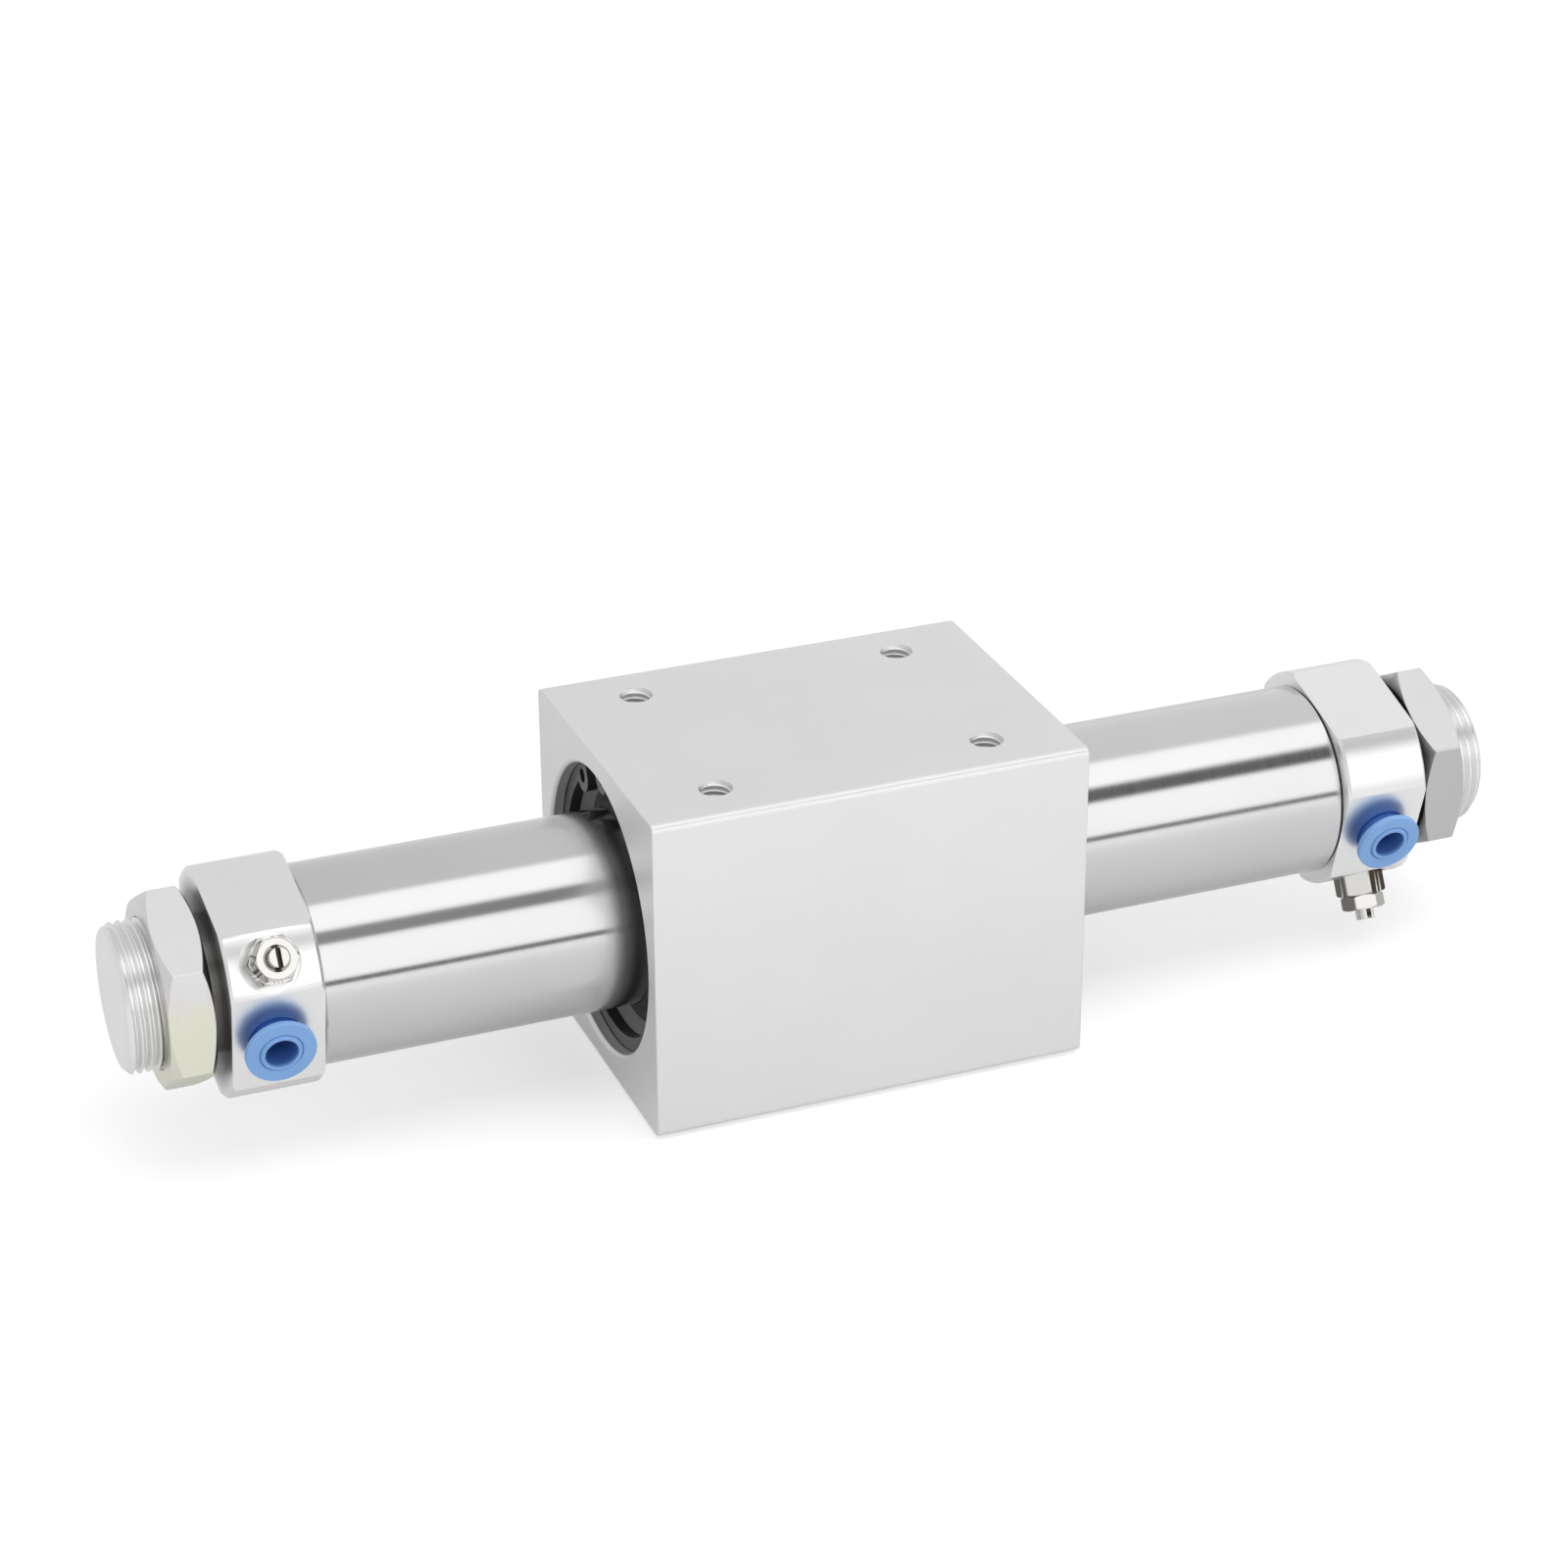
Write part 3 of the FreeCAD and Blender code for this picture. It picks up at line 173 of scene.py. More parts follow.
@dataclass
class Grid:
    """Surface patch: points in rows and columns, each way open or joined into a loop.

    Shade is how far each point takes its finish's deep colour, from 0 to 1: painted shade and painted
    reflections.
    """

    points: np.ndarray
    rows_joined: bool = False
    columns_joined: bool = False
    shade: np.ndarray | None = None

    def shades(self) -> np.ndarray:
        """Shade of every point, 0 where none was given."""
        return np.zeros(self.points.shape[:2]) if self.shade is None else self.shade

    def moved(self, points: np.ndarray) -> "Grid":
        """The same patch with its points elsewhere."""
        return Grid(points, self.rows_joined, self.columns_joined, self.shade)

    def faces(self, offset: int) -> np.ndarray:
        """Quads between neighbouring rows and columns.

        Args:
            offset: Index of the patch's first point in the whole mesh.

        Returns:
            Array of four point indices for each quad.
        """
        rows, columns = self.points.shape[:2]
        row = np.arange(rows if self.rows_joined else rows - 1)[:, None]
        column = np.arange(columns if self.columns_joined else columns - 1)[None, :]
        next_row, next_column = (row + 1) % rows, (column + 1) % columns
        corners = [row * columns + column, row * columns + next_column,
                   next_row * columns + next_column, next_row * columns + column]
        shape = np.broadcast(row, column).shape
        return np.stack([np.broadcast_to(c, shape).ravel() for c in corners], axis=1) + offset


def lathe(profile: list[tuple[float, float]], columns: int, closed: bool = True) -> Grid:
    """Turn a half section about the X axis.

    A point (x, r) of the section becomes the circle (x, r cos a, r sin a).

    Args:
        profile: Pairs of place along X and radius.
        columns: Points round the circle.
        closed: Whether the section is a loop; an open one ends on the axis.

    Returns:
        The turned surface.
    """
    section = np.array(profile, float)
    angle = np.arange(columns) * FULL_TURN / columns
    x = np.broadcast_to(section[:, :1], (len(section), columns))
    y = section[:, 1:] * np.cos(angle)
    z = section[:, 1:] * np.sin(angle)
    return Grid(np.stack([x, y, z], axis=2), rows_joined=closed, columns_joined=True)


def end_for_end(points: np.ndarray) -> np.ndarray:
    """Turn points by half a turn about the Z axis, from the right end to the left one.

    Args:
        points: Array whose last axis is x, y, z.

    Returns:
        The turned points.
    """
    return points * np.array([-1.0, -1.0, 1.0])


def roll(points: np.ndarray, degrees: float) -> np.ndarray:
    """Turn points about the X axis.

    Args:
        points: Array whose last axis is x, y, z.
        degrees: Turn from Y towards Z.

    Returns:
        The turned points.
    """
    turn = math.radians(degrees)
    y, z = points[..., 1], points[..., 2]
    return np.stack([points[..., 0], y * math.cos(turn) - z * math.sin(turn),
                     y * math.sin(turn) + z * math.cos(turn)], axis=-1)


def stand_out(points: np.ndarray, station: float, degrees: float) -> np.ndarray:
    """Stand a piece drawn along X on the cylinder's axis, pointing out of a cross hole.

    The piece's x becomes the distance from the axis and its y the place along the cylinder.

    Args:
        points: Array whose last axis is x, y, z.
        station: Place of the hole along the cylinder.
        degrees: Turn of the hole below the front.

    Returns:
        The placed points.
    """
    turn = math.radians(degrees)
    outwards = np.array([0.0, -math.cos(turn), -math.sin(turn)])
    across = np.array([0.0, -math.sin(turn), math.cos(turn)])
    along = np.array([1.0, 0.0, 0.0])
    return (points[..., :1] * outwards + points[..., 1:2] * along + points[..., 2:3] * across
            + np.array([station, 0.0, 0.0]))


def fillet(corner: tuple[float, float], before: tuple[float, float], after: tuple[float, float],
           radius: float) -> list[tuple[float, float]]:
    """Round a corner of a section.

    The corner is replaced by a quadratic curve that leaves both of its lines at the given distance.

    Args:
        corner: The sharp corner.
        before: Section point ahead of the corner.
        after: Section point beyond the corner.
        radius: Distance from the corner to each end of the curve.

    Returns:
        Points of the curve, in the section's order.
    """
    middle = np.array(corner)
    ways = [np.array(neighbour) - middle for neighbour in (before, after)]
    start, end = (middle + radius * way / np.linalg.norm(way) for way in ways)
    share = np.linspace(0, 1, FILLET_STEPS + 1)[:, None]
    curve = (1 - share) ** 2 * start + 2 * share * (1 - share) * middle + share ** 2 * end
    return [tuple(point) for point in curve]


def rounded(section: list[tuple[float, float]], radii: list[float]) -> list[tuple[float, float]]:
    """Round every corner of a closed section that has a radius above zero.

    Args:
        section: Corners of the section, in order.
        radii: Radius for each corner.

    Returns:
        The section with its rounded corners.
    """
    points: list[tuple[float, float]] = []
    for index, (corner, radius) in enumerate(zip(section, radii)):
        if radius > 0:
            points += fillet(corner, section[index - 1], section[(index + 1) % len(section)], radius)
        else:
            points.append(corner)
    return points


@dataclass(frozen=True)
class Thread:
    """Right-hand screw thread about the X axis, in millimetres."""

    pitch: float
    crest: float
    depth: float
    samples: int = 16
    columns: int = 144
    # Painted shade in the thread's roots, as a share of the deep colour.
    painted_root_shade: float = 0.0

    def radius(self, phase: np.ndarray) -> np.ndarray:
        """Radius of the thread's flanks.

        A pitch holds an eighth of crest, a sloping flank, a sixth of root and the other flank.

        Args:
            phase: Place along the thread, in pitches.

        Returns:
            Radius at each place; depth below zero cuts outwards, as in a nut.
        """
        return self.crest - self.depth * np.interp(np.mod(phase, 1.0), THREAD_PLACES, THREAD_SHARES)

    def grid(self, start: float, end: float) -> Grid:
        """Helical surface whose rows follow the thread.

        A row's place is start plus (row + angle share) pitches, held between both ends, so that the
        crests run unbroken round the seam.

        Args:
            start: Place along X where the thread starts.
            end: Place along X where it ends.

        Returns:
            The threaded surface, open at both ends.
        """
        turns = math.ceil((end - start) / self.pitch) + 1
        row = np.linspace(-1.0, turns, (turns + 1) * self.samples + 1)[:, None]
        share = np.linspace(0.0, 1.0, self.columns + 1)[None, :]
        x = np.clip(start + (row + share) * self.pitch, start, end)
        r = self.radius((x - start) / self.pitch - share)
        angle = share * FULL_TURN
        return Grid(np.stack([x, r * np.cos(angle), r * np.sin(angle)], axis=2),
                    shade=self.painted_root_shade * (self.crest - r) / self.depth)


@dataclass(frozen=True)
class HexagonNut:
    """Hexagon prism along X with chamfered corners and a bore, in millimetres.

    At an angle d from the middle of a flat, the flat's radius is half the width over cos d, and the
    chamfer's cone meets it at a depth of (that radius - face radius) times the tangent of its slope.
    """

    start: float
    end: float
    width: float
    bore: float
    face_share: float = 0.99
    chamfer_slope: float = 30.0
    bore_lead: float = 0.0
    both_ends: bool = True
    columns_per_flat: int = 24
    # Painted reflections on the flats and painted shade on the face at the start.
    painted_flat_shades: tuple[float, ...] = (0.0,) * 6
    painted_start_shade: float = 0.0

    def grid(self) -> Grid:
        """Rows run round the nut's section: bore, face, chamfer, flat, chamfer, face.

        The painted shades, one for each flat as a painted reflection and one for the face at the start as
        painted shade, are the shades of their rows.

        Returns:
            The nut's surface, drawn along X about the axis.
        """
        columns = 6 * self.columns_per_flat
        angle = np.arange(columns) * FULL_TURN / columns
        from_flat = np.mod(angle, FULL_TURN / 6) - FULL_TURN / 12
        flat = self.width / 2 / np.cos(from_flat)
        face = np.minimum(self.width / 2 * self.face_share, flat)
        cut = (flat - face) * math.tan(math.radians(self.chamfer_slope))
        first_cut = cut if self.both_ends else 0 * cut
        first_face = face if self.both_ends else flat
        lead = self.bore_lead
        rows = [(self.start, self.bore), (self.start, first_face), (self.start + first_cut, flat),
                (self.end - cut, flat), (self.end, face), (self.end, self.bore + lead),
                (self.end - lead, self.bore)]
        x = np.stack([np.broadcast_to(place, angle.shape) for place, _ in rows])
        r = np.stack([np.broadcast_to(size, angle.shape) for _, size in rows])
        on_flat = np.array([0.0, 0.0, 1.0, 1.0, 0.0, 0.0, 0.0])[:, None]
        tone = np.repeat(np.array(self.painted_flat_shades), self.columns_per_flat)[None, :]
        shade = on_flat * tone
        shade[0] = self.painted_start_shade
        shade[1] = self.painted_start_shade if self.both_ends else tone
        return Grid(np.stack([x, r * np.cos(angle), r * np.sin(angle)], axis=2),
                    rows_joined=True, columns_joined=True, shade=shade)


# ---- Pieces


def mesh_from(name: str, grids: list[Grid]) -> bpy.types.Mesh:
    """Make one closed mesh of several patches.

    The patches are joined where their points meet, and the faces are turned outwards.

    Args:
        name: Name of the mesh.
        grids: Patches, in millimetres in the frame's axes.

    Returns:
        The mesh, in metres.
    """
    offsets = np.cumsum([0] + [grid.points.shape[0] * grid.points.shape[1] for grid in grids])
    points = np.concatenate([grid.points.reshape(-1, 3) for grid in grids]) * MM
    faces = np.concatenate([grid.faces(int(offset)) for grid, offset in zip(grids, offsets)])
    mesh = bpy.data.meshes.new(name)
    mesh.vertices.add(len(points))
    mesh.vertices.foreach_set("co", points.astype(np.float32).ravel())
    mesh.loops.add(faces.size)
    mesh.loops.foreach_set("vertex_index", faces.astype(np.int32).ravel())
    mesh.polygons.add(len(faces))
    mesh.polygons.foreach_set("loop_start", np.arange(0, faces.size, 4, dtype=np.int32))
    shades = np.concatenate([grid.shades().ravel() for grid in grids])
    mesh.attributes.new(SHADE, "FLOAT", "POINT").data.foreach_set("value", shades.astype(np.float32))
    mesh.update(calc_edges=True)
    mesh.validate()
    shape = bmesh.new()
    shape.from_mesh(mesh)
    bmesh.ops.remove_doubles(shape, verts=shape.verts, dist=WELD_DISTANCE)
    bmesh.ops.recalc_face_normals(shape, faces=shape.faces)
    shape.to_mesh(mesh)
    shape.free()
    return mesh


def merged_copy(name: str, node: str, leave_out: Callable[[np.ndarray], np.ndarray] | None = None
                ) -> bpy.types.Mesh:
    """Copy a frame node's mesh with its loose triangles joined and its flat faces made whole.

    Args:
        name: Name of the new mesh.
        node: Frame node to copy.
        leave_out: Test that takes the middles of all faces, in millimetres, and marks the faces
            left out because another surface takes their place.

    Returns:
        The copy; the node's own mesh stays as it is.
    """
    mesh = bpy.data.objects[node].data.copy()
    mesh.name = name
    shape = bmesh.new()
    shape.from_mesh(mesh)
    bmesh.ops.remove_doubles(shape, verts=shape.verts, dist=WELD_DISTANCE)
    if leave_out is not None:
        marked = leave_out(np.array([face.calc_center_median() for face in shape.faces]) / MM)
        unwanted = [face for face, mark in zip(shape.faces, marked) if mark]
        bmesh.ops.delete(shape, geom=unwanted, context="FACES")
    bmesh.ops.dissolve_limit(shape, angle_limit=math.radians(FLAT_WITHIN), verts=shape.verts,
                              edges=shape.edges)
    shape.to_mesh(mesh)
    shape.free()
    mesh.materials.clear()
    fixed_normals = mesh.attributes.get("custom_normal")
    if fixed_normals is not None:
        mesh.attributes.remove(fixed_normals)
    return mesh


@dataclass
class Piece:
    """One finished piece of the object."""

    name: str
    mesh: bpy.types.Mesh
    finish: "Finish"
    body: str
    replaces: tuple[str, ...] = ()
    slot: str = ""
    sharp_degrees: float = 30.0
    edge_round: float = 0.0
    edge_steps: int = 2

    def place(self) -> bpy.types.Object:
        """Put the piece into the scene, with its finish, soft edges and body.

        Returns:
            The new object.
        """
        self.mesh.name = self.name
        thing = bpy.data.objects.new(self.name, self.mesh)
        bpy.context.scene.collection.objects.link(thing)
        self.mesh.polygons.foreach_set("use_smooth", np.ones(len(self.mesh.polygons), bool))
        self.mesh.set_sharp_from_angle(angle=math.radians(self.sharp_degrees))
        self.mesh.materials.append(self.finish.material())
        if self.edge_round > 0:
            rounding = thing.modifiers.new("soft_edges", "BEVEL")
            rounding.width = self.edge_round * MM
            rounding.segments = self.edge_steps
            rounding.limit_method = "ANGLE"
            rounding.angle_limit = math.radians(self.sharp_degrees)
            rounding.use_clamp_overlap = True
            rounding.harden_normals = False
        weighting = thing.modifiers.new("face_weighted_shading", "WEIGHTED_NORMAL")
        weighting.keep_sharp = True
        weighting.weight = FLAT_FACE_WEIGHT
        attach(thing, self.body)
        if self.replaces:
            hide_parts(*self.replaces)
        LOG.info("%s: %d faces on %s", self.name, len(self.mesh.polygons), self.body)
        return thing


# ---- Finishes


class Lay(Enum):
    """Direction of the fine marks on a worked surface."""

    ROUND = "rings about the cylinder's axis"
    EVEN = "no direction"


class NodeTree:
    """Short way to add and join shader nodes."""

    def __init__(self, tree: bpy.types.NodeTree) -> None:
        """Keep the tree and clear it.

        Args:
            tree: Node tree of a material or of the world.
        """
        self.tree = tree
        tree.nodes.clear()

    def add(self, kind: str, settings: dict | None = None, **inputs: object) -> bpy.types.Node:
        """Add one node.

        Args:
            kind: Type name of the node.
            settings: Properties of the node itself.
            inputs: Values or output sockets, by input name with _ for a space; in0 means input 0.

        Returns:
            The new node.
        """
        node = self.tree.nodes.new(kind)
        for key, value in (settings or {}).items():
            setattr(node, key, value)
        for key, value in inputs.items():
            socket = node.inputs[int(key[2:])] if key[:2] == "in" and key[2:].isdigit() else (
                node.inputs[key.replace("_", " ")])
            if isinstance(value, bpy.types.NodeSocket):
                self.tree.links.new(value, socket)
            else:
                socket.default_value = value
        return node

    def math(self, operation: str, first: object, second: object = 0.0) -> bpy.types.NodeSocket:
        """Add a maths node and return its output.

        Args:
            operation: Name of the operation.
            first: First value or socket.
            second: Second value or socket.

        Returns:
            The output socket.
        """
        return self.add("ShaderNodeMath", {"operation": operation}, in0=first, in1=second).outputs[0]

    def ramp(self, factor: bpy.types.NodeSocket, stops: list[tuple[float, tuple[float, ...]]]
             ) -> bpy.types.NodeSocket:
        """Add a colour ramp and return its colour.

        Args:
            factor: Socket that reads the ramp, from 0 to 1.
            stops: Places and colours, in order.

        Returns:
            The colour output.
        """
        node = self.add("ShaderNodeValToRGB", in0=factor)
        elements = node.color_ramp.elements
        while len(elements) < len(stops):
            elements.new(1.0)
        for element, (place, colour) in zip(elements, stops):
            element.position = place
            element.color = (*colour, 1.0)
        return node.outputs[0]

    def place(self) -> bpy.types.NodeSocket:
        """Socket of the point's own place on the piece, in metres."""
        return self.add("ShaderNodeTexCoord").outputs["Object"]

    def parts(self, vector: bpy.types.NodeSocket) -> bpy.types.bpy_prop_collection:
        """Outputs that hold a vector's X, Y and Z."""
        return self.add("ShaderNodeSeparateXYZ", in0=vector).outputs

    def noise(self, place: bpy.types.NodeSocket, scale: float, detail: float = 2.0, roughness: float = 0.5
              ) -> bpy.types.NodeSocket:
        """Add a noise texture and return its value.

        Args:
            place: Socket of the coordinates.
            scale: Clouds in one unit of the coordinates.
            detail: Finer layers added to the first.
            roughness: How much of each finer layer is added.

        Returns:
            The value's socket.
        """
        return self.add("ShaderNodeTexNoise", Vector=place, Scale=scale, Detail=detail,
                        Roughness=roughness).outputs[0]

    def spread(self, value: bpy.types.NodeSocket, start: float, end: float, at_start: float = 0.0,
               at_end: float = 1.0) -> bpy.types.NodeSocket:
        """Pass evenly from one value to another while a socket goes through a range.

        Args:
            value: Socket that goes through the range.
            start: Where the range starts.
            end: Where it ends.
            at_start: Result at the start, and ahead of it.
            at_end: Result at the end, and beyond it.

        Returns:
            The result's socket.
        """
        return self.add("ShaderNodeMapRange", in0=value, in1=start, in2=end, in3=at_start,
                        in4=at_end).outputs[0]

    def gloss(self, fine: bpy.types.NodeSocket, roughness: float, swing: float) -> bpy.types.NodeSocket:
        """Roughness that fine noise moves up and down by a swing."""
        return self.spread(fine, *NOISE_RANGE, roughness - swing, roughness + swing)

    def bump(self, height: bpy.types.NodeSocket, relief: float) -> bpy.types.NodeSocket:
        """Normal of a surface whose relief, in millimetres, follows a height socket."""
        return self.add("ShaderNodeBump", Strength=1.0, Distance=relief * MM, Height=height).outputs[0]

    def from_axis(self, parts: bpy.types.bpy_prop_collection) -> bpy.types.NodeSocket:
        """Distance of a point from the X axis.

        Args:
            parts: The outputs that hold the point's X, Y and Z.

        Returns:
            The distance's socket.
        """
        square_y = self.math("MULTIPLY", parts[1], parts[1])
        square_z = self.math("MULTIPLY", parts[2], parts[2])
        return self.math("SQRT", self.math("ADD", square_y, square_z))

    def mesh_shade(self) -> bpy.types.NodeSocket:
        """Socket of the painted shade stored on the mesh."""
        return self.add("ShaderNodeAttribute", {"attribute_name": SHADE}).outputs["Fac"]

    def shaded(self, colour: bpy.types.NodeSocket, deep: tuple[float, ...], shade: bpy.types.NodeSocket
               ) -> bpy.types.NodeSocket:
        """Pass from a colour to a deep one as the shade goes from 0 to 1.

        Args:
            colour: Socket of the plain colour.
            deep: The deep colour.
            shade: Socket of the shade.

        Returns:
            The mixed colour.
        """
        node = self.add("ShaderNodeMix", {"data_type": "RGBA"}, in0=shade, in6=colour, in7=(*deep, 1.0))
        return node.outputs[2]


@dataclass(frozen=True)
class Finish:
    """Base of all finishes: a name and one shared material."""

    name: str

    def material(self) -> bpy.types.Material:
        """Return this finish's material, made at its first use.

        Returns:
            The shared material.
        """
        made = bpy.data.materials.get(self.name)
        if made is None:
            made = bpy.data.materials.new(self.name)
            made.use_nodes = True
            nodes = NodeTree(made.node_tree)
            shader = self.shade(nodes)
            nodes.add("ShaderNodeOutputMaterial", in0=shader)
        return made

    def shade(self, nodes: NodeTree) -> bpy.types.NodeSocket:
        """Build the shader; each kind of finish has its own.

        Args:
            nodes: Empty node tree of the material.

        Returns:
            The shader socket for the surface.
        """
        raise NotImplementedError


@dataclass(frozen=True)
class WorkedMetal(Finish):
    """Bare, plated or anodised metal with fine tool marks and slight stains.

    A stretch above zero smears reflections along the cylinder, as rings left by polishing do. The deep
    colour is painted shade and painted reflection, shown where a piece's mesh is shaded.
    """

    colour: tuple[float, float, float] = (0.6, 0.6, 0.6)
    roughness: float = 0.25
    roughness_swing: float = 0.06
    lay: Lay = Lay.EVEN
    marks_per_mm: float = 6.0
    relief: float = 0.001
    stain: float = 0.04
    metallic: float = 1.0
    stretch: float = 0.0
    # Colour of the painted shade and painted reflections.
    deep_colour: tuple[float, float, float] | None = None
    clouds_per_metre: float = 45.0

    def marks(self, nodes: NodeTree) -> bpy.types.NodeSocket:
        """Coordinates, in millimetres, for the noise that makes the tool marks.

        Marks that run round have only the place along the axis and the distance from it, so that the
        noise becomes rings.

        Args:
            nodes: Node tree of the material.

        Returns:
            A vector socket.
        """
        in_mm = nodes.add("ShaderNodeVectorMath", {"operation": "SCALE"}, in0=nodes.place(),
                          Scale=1 / MM).outputs[0]
        if self.lay is Lay.EVEN:
            return in_mm
        parts = nodes.parts(in_mm)
        return nodes.add("ShaderNodeCombineXYZ", in0=parts[0], in1=nodes.from_axis(parts)).outputs[0]

    def depth(self, nodes: NodeTree) -> bpy.types.NodeSocket:
        """How far the deep colour, a painted shade, shows; here it is the mesh's own shade."""
        return nodes.mesh_shade()

    def stained(self, nodes: NodeTree, colour: bpy.types.NodeSocket) -> bpy.types.NodeSocket:
        """The metal's colour with its stains; plain metal has none of its own."""
        return colour

    def shade(self, nodes: NodeTree) -> bpy.types.NodeSocket:
        """Metal shader: fine noise sets relief and gloss, wide noise shifts the colour.

        Args:
            nodes: Empty node tree of the material.

        Returns:
            The shader socket.
        """
        fine = nodes.noise(self.marks(nodes), self.marks_per_mm, detail=4.0, roughness=0.6)
        wide = nodes.noise(nodes.place(), self.clouds_per_metre, detail=3.0)
        dull = tuple(channel * (1 - self.stain) for channel in self.colour)
        bright = tuple(min(channel * (1 + self.stain), 1.0) for channel in self.colour)
        colour = self.stained(nodes, nodes.ramp(wide, list(zip(CLOUD_RANGE, (dull, bright)))))
        # Painted shade and painted reflections: the deep colour mixed in by the shade.
        if self.deep_colour is not None:
            colour = nodes.shaded(colour, self.deep_colour, self.depth(nodes))
        shader = nodes.add("ShaderNodeBsdfPrincipled", Base_Color=colour, Metallic=self.metallic,
                           Roughness=nodes.gloss(fine, self.roughness, self.roughness_swing),
                           Normal=nodes.bump(fine, self.relief), Anisotropic=self.stretch)
        if self.stretch:
            along = nodes.add("ShaderNodeCombineXYZ", in0=1.0).outputs[0]
            nodes.tree.links.new(along, shader.inputs["Tangent"])
        return shader.outputs[0]


@dataclass(frozen=True)
class CoverMetal(WorkedMetal):
    """Metal of the covers, with painted shade in the narrow slot behind the mounting nut, in millimetres.

    The slack on each side takes in the slot's own walls.
    """

    slot_width: float = 2.0
    cover_slack: float = 0.04
    nut_slack: float = 0.1
    painted_shade_to: float = 15.6
    painted_shade_clear_from: float = 18.8

    def depth(self, nodes: NodeTree) -> bpy.types.NodeSocket:
        """Painted shade of the mesh, or the painted shade of the slot where it is more.

        The slot's painted shade is full from the neck out to the first radius and clears up to the second.

        Args:
            nodes: Node tree of the material.

        Returns:
            The shade's socket.
        """
        near = Extent.of(Side.RIGHT.node("mounting_nut")).near
        parts = nodes.parts(nodes.place())
        reach = nodes.math("ABSOLUTE", parts[0])
        after = nodes.math("GREATER_THAN", reach, (near - self.slot_width - self.cover_slack) * MM)
        before = nodes.math("LESS_THAN", reach, (near + self.nut_slack) * MM)
        inside = nodes.spread(nodes.from_axis(parts), self.painted_shade_to * MM, self.painted_shade_clear_from * MM, 1.0, 0.0)
        # Painted shade in the slot behind the nut.
        slot = nodes.math("MULTIPLY", nodes.math("MULTIPLY", after, before), inside)
        return nodes.math("MAXIMUM", nodes.mesh_shade(), slot)


@dataclass(frozen=True)
class StainedMetal(WorkedMetal):
    """Metal with a yellow bloom low on its front, which ends upwards in pink streaks.

    Heights are millimetres above the cylinder's axis. The streaks' noise goes through its values slowly
    in height, and its range says where a streak starts and where it is at its full strength.
    """

    bloom: tuple[float, float, float] = (0.77, 0.77, 0.655)
    streak: tuple[float, float, float] = (0.80, 0.65, 0.67)
    bloom_from: float = 5.5
    bloom_full: float = 2.0
    streak_top: float = 10.0
    streak_share: float = 0.6
    streak_range: tuple[float, float] = (0.46, 0.60)
    streaks_per_metre: float = 900.0
    slow_in_height: float = 0.12
    unevenness: float = 8.0

    def stained(self, nodes: NodeTree, colour: bpy.types.NodeSocket) -> bpy.types.NodeSocket:
        """Mix in the streaks and the bloom by height, on the front half only.

        The noise is fine along the cylinder and slow in height, so that both stains end in streaks.

        Args:
            nodes: Node tree of the material.
            colour: Socket of the clean colour.

        Returns:
            The stained colour.
        """
        parts = nodes.parts(nodes.place())
        front = nodes.math("LESS_THAN", parts[1], 0.0)
        slow = nodes.math("MULTIPLY", parts[2], self.slow_in_height)
        way = nodes.add("ShaderNodeCombineXYZ", in0=parts[0], in1=slow).outputs[0]
        noise = nodes.noise(way, self.streaks_per_metre)
        uneven = nodes.math("MULTIPLY", nodes.math("SUBTRACT", noise, 0.5), self.unevenness * MM)
        height = nodes.math("ADD", parts[2], uneven)
        low = nodes.spread(height, self.bloom_full * MM, self.bloom_from * MM, 1.0, 0.0)
        under = nodes.spread(height, self.bloom_from * MM, self.streak_top * MM, 1.0, 0.0)
        sharp = nodes.spread(noise, *self.streak_range, 0.0, self.streak_share)
        streaks = nodes.math("MULTIPLY", nodes.math("MULTIPLY", under, sharp), front)
        pink = nodes.shaded(colour, self.streak, streaks)
        return nodes.shaded(pink, self.bloom, nodes.math("MULTIPLY", low, front))


@dataclass(frozen=True)
class Moulded(Finish):
    """Moulded plastic or rubber with a fine texture."""

    colour: tuple[float, float, float] = (0.1, 0.1, 0.1)
    deep_colour: tuple[float, float, float] = (0.05, 0.05, 0.05)
    roughness: float = 0.4
    texture_per_mm: float = 4.0
    relief: float = 0.002
    # Colour of the painted shade, where the mesh is shaded.
    painted_shade_colour: tuple[float, float, float] | None = None
    roughness_swing: float = 0.05
    clouds_per_metre: float = 140.0

    def shade(self, nodes: NodeTree) -> bpy.types.NodeSocket:
        """Plastic shader: cloudy colour, painted shade where the mesh is shaded, and fine dimples.

        Args:
            nodes: Empty node tree of the material.

        Returns:
            The shader socket.
        """
        cloud = nodes.noise(nodes.place(), self.clouds_per_metre)
        dimple = nodes.noise(nodes.place(), self.texture_per_mm / MM)
        colour = nodes.ramp(cloud, list(zip(NOISE_RANGE, (self.deep_colour, self.colour))))
        if self.painted_shade_colour is not None:
            colour = nodes.shaded(colour, self.painted_shade_colour, nodes.mesh_shade())
        return nodes.add("ShaderNodeBsdfPrincipled", Base_Color=colour,
                         Roughness=nodes.gloss(dimple, self.roughness, self.roughness_swing),
                         Normal=nodes.bump(dimple, self.relief)).outputs[0]


STAINLESS = WorkedMetal("polished_stainless", (0.65, 0.65, 0.655), 0.17, 0.02, Lay.ROUND, 2.5, 0.0002, 0.015,
                        stretch=0.85)
ANODISED = WorkedMetal("satin_anodised_block", (0.80, 0.80, 0.80), 0.42, 0.03, Lay.EVEN, 6.0, 0.0004, 0.01,
                       0.85)
# The covers' deep colour is painted shade in the slot behind the nut and in the nose thread's roots.
COVER_NICKEL = CoverMetal("nickel_plated_cover", (0.87, 0.87, 0.865), 0.305, 0.015, Lay.ROUND, 2.5, 0.0002,
                          0.012, deep_colour=(0.19, 0.187, 0.18))
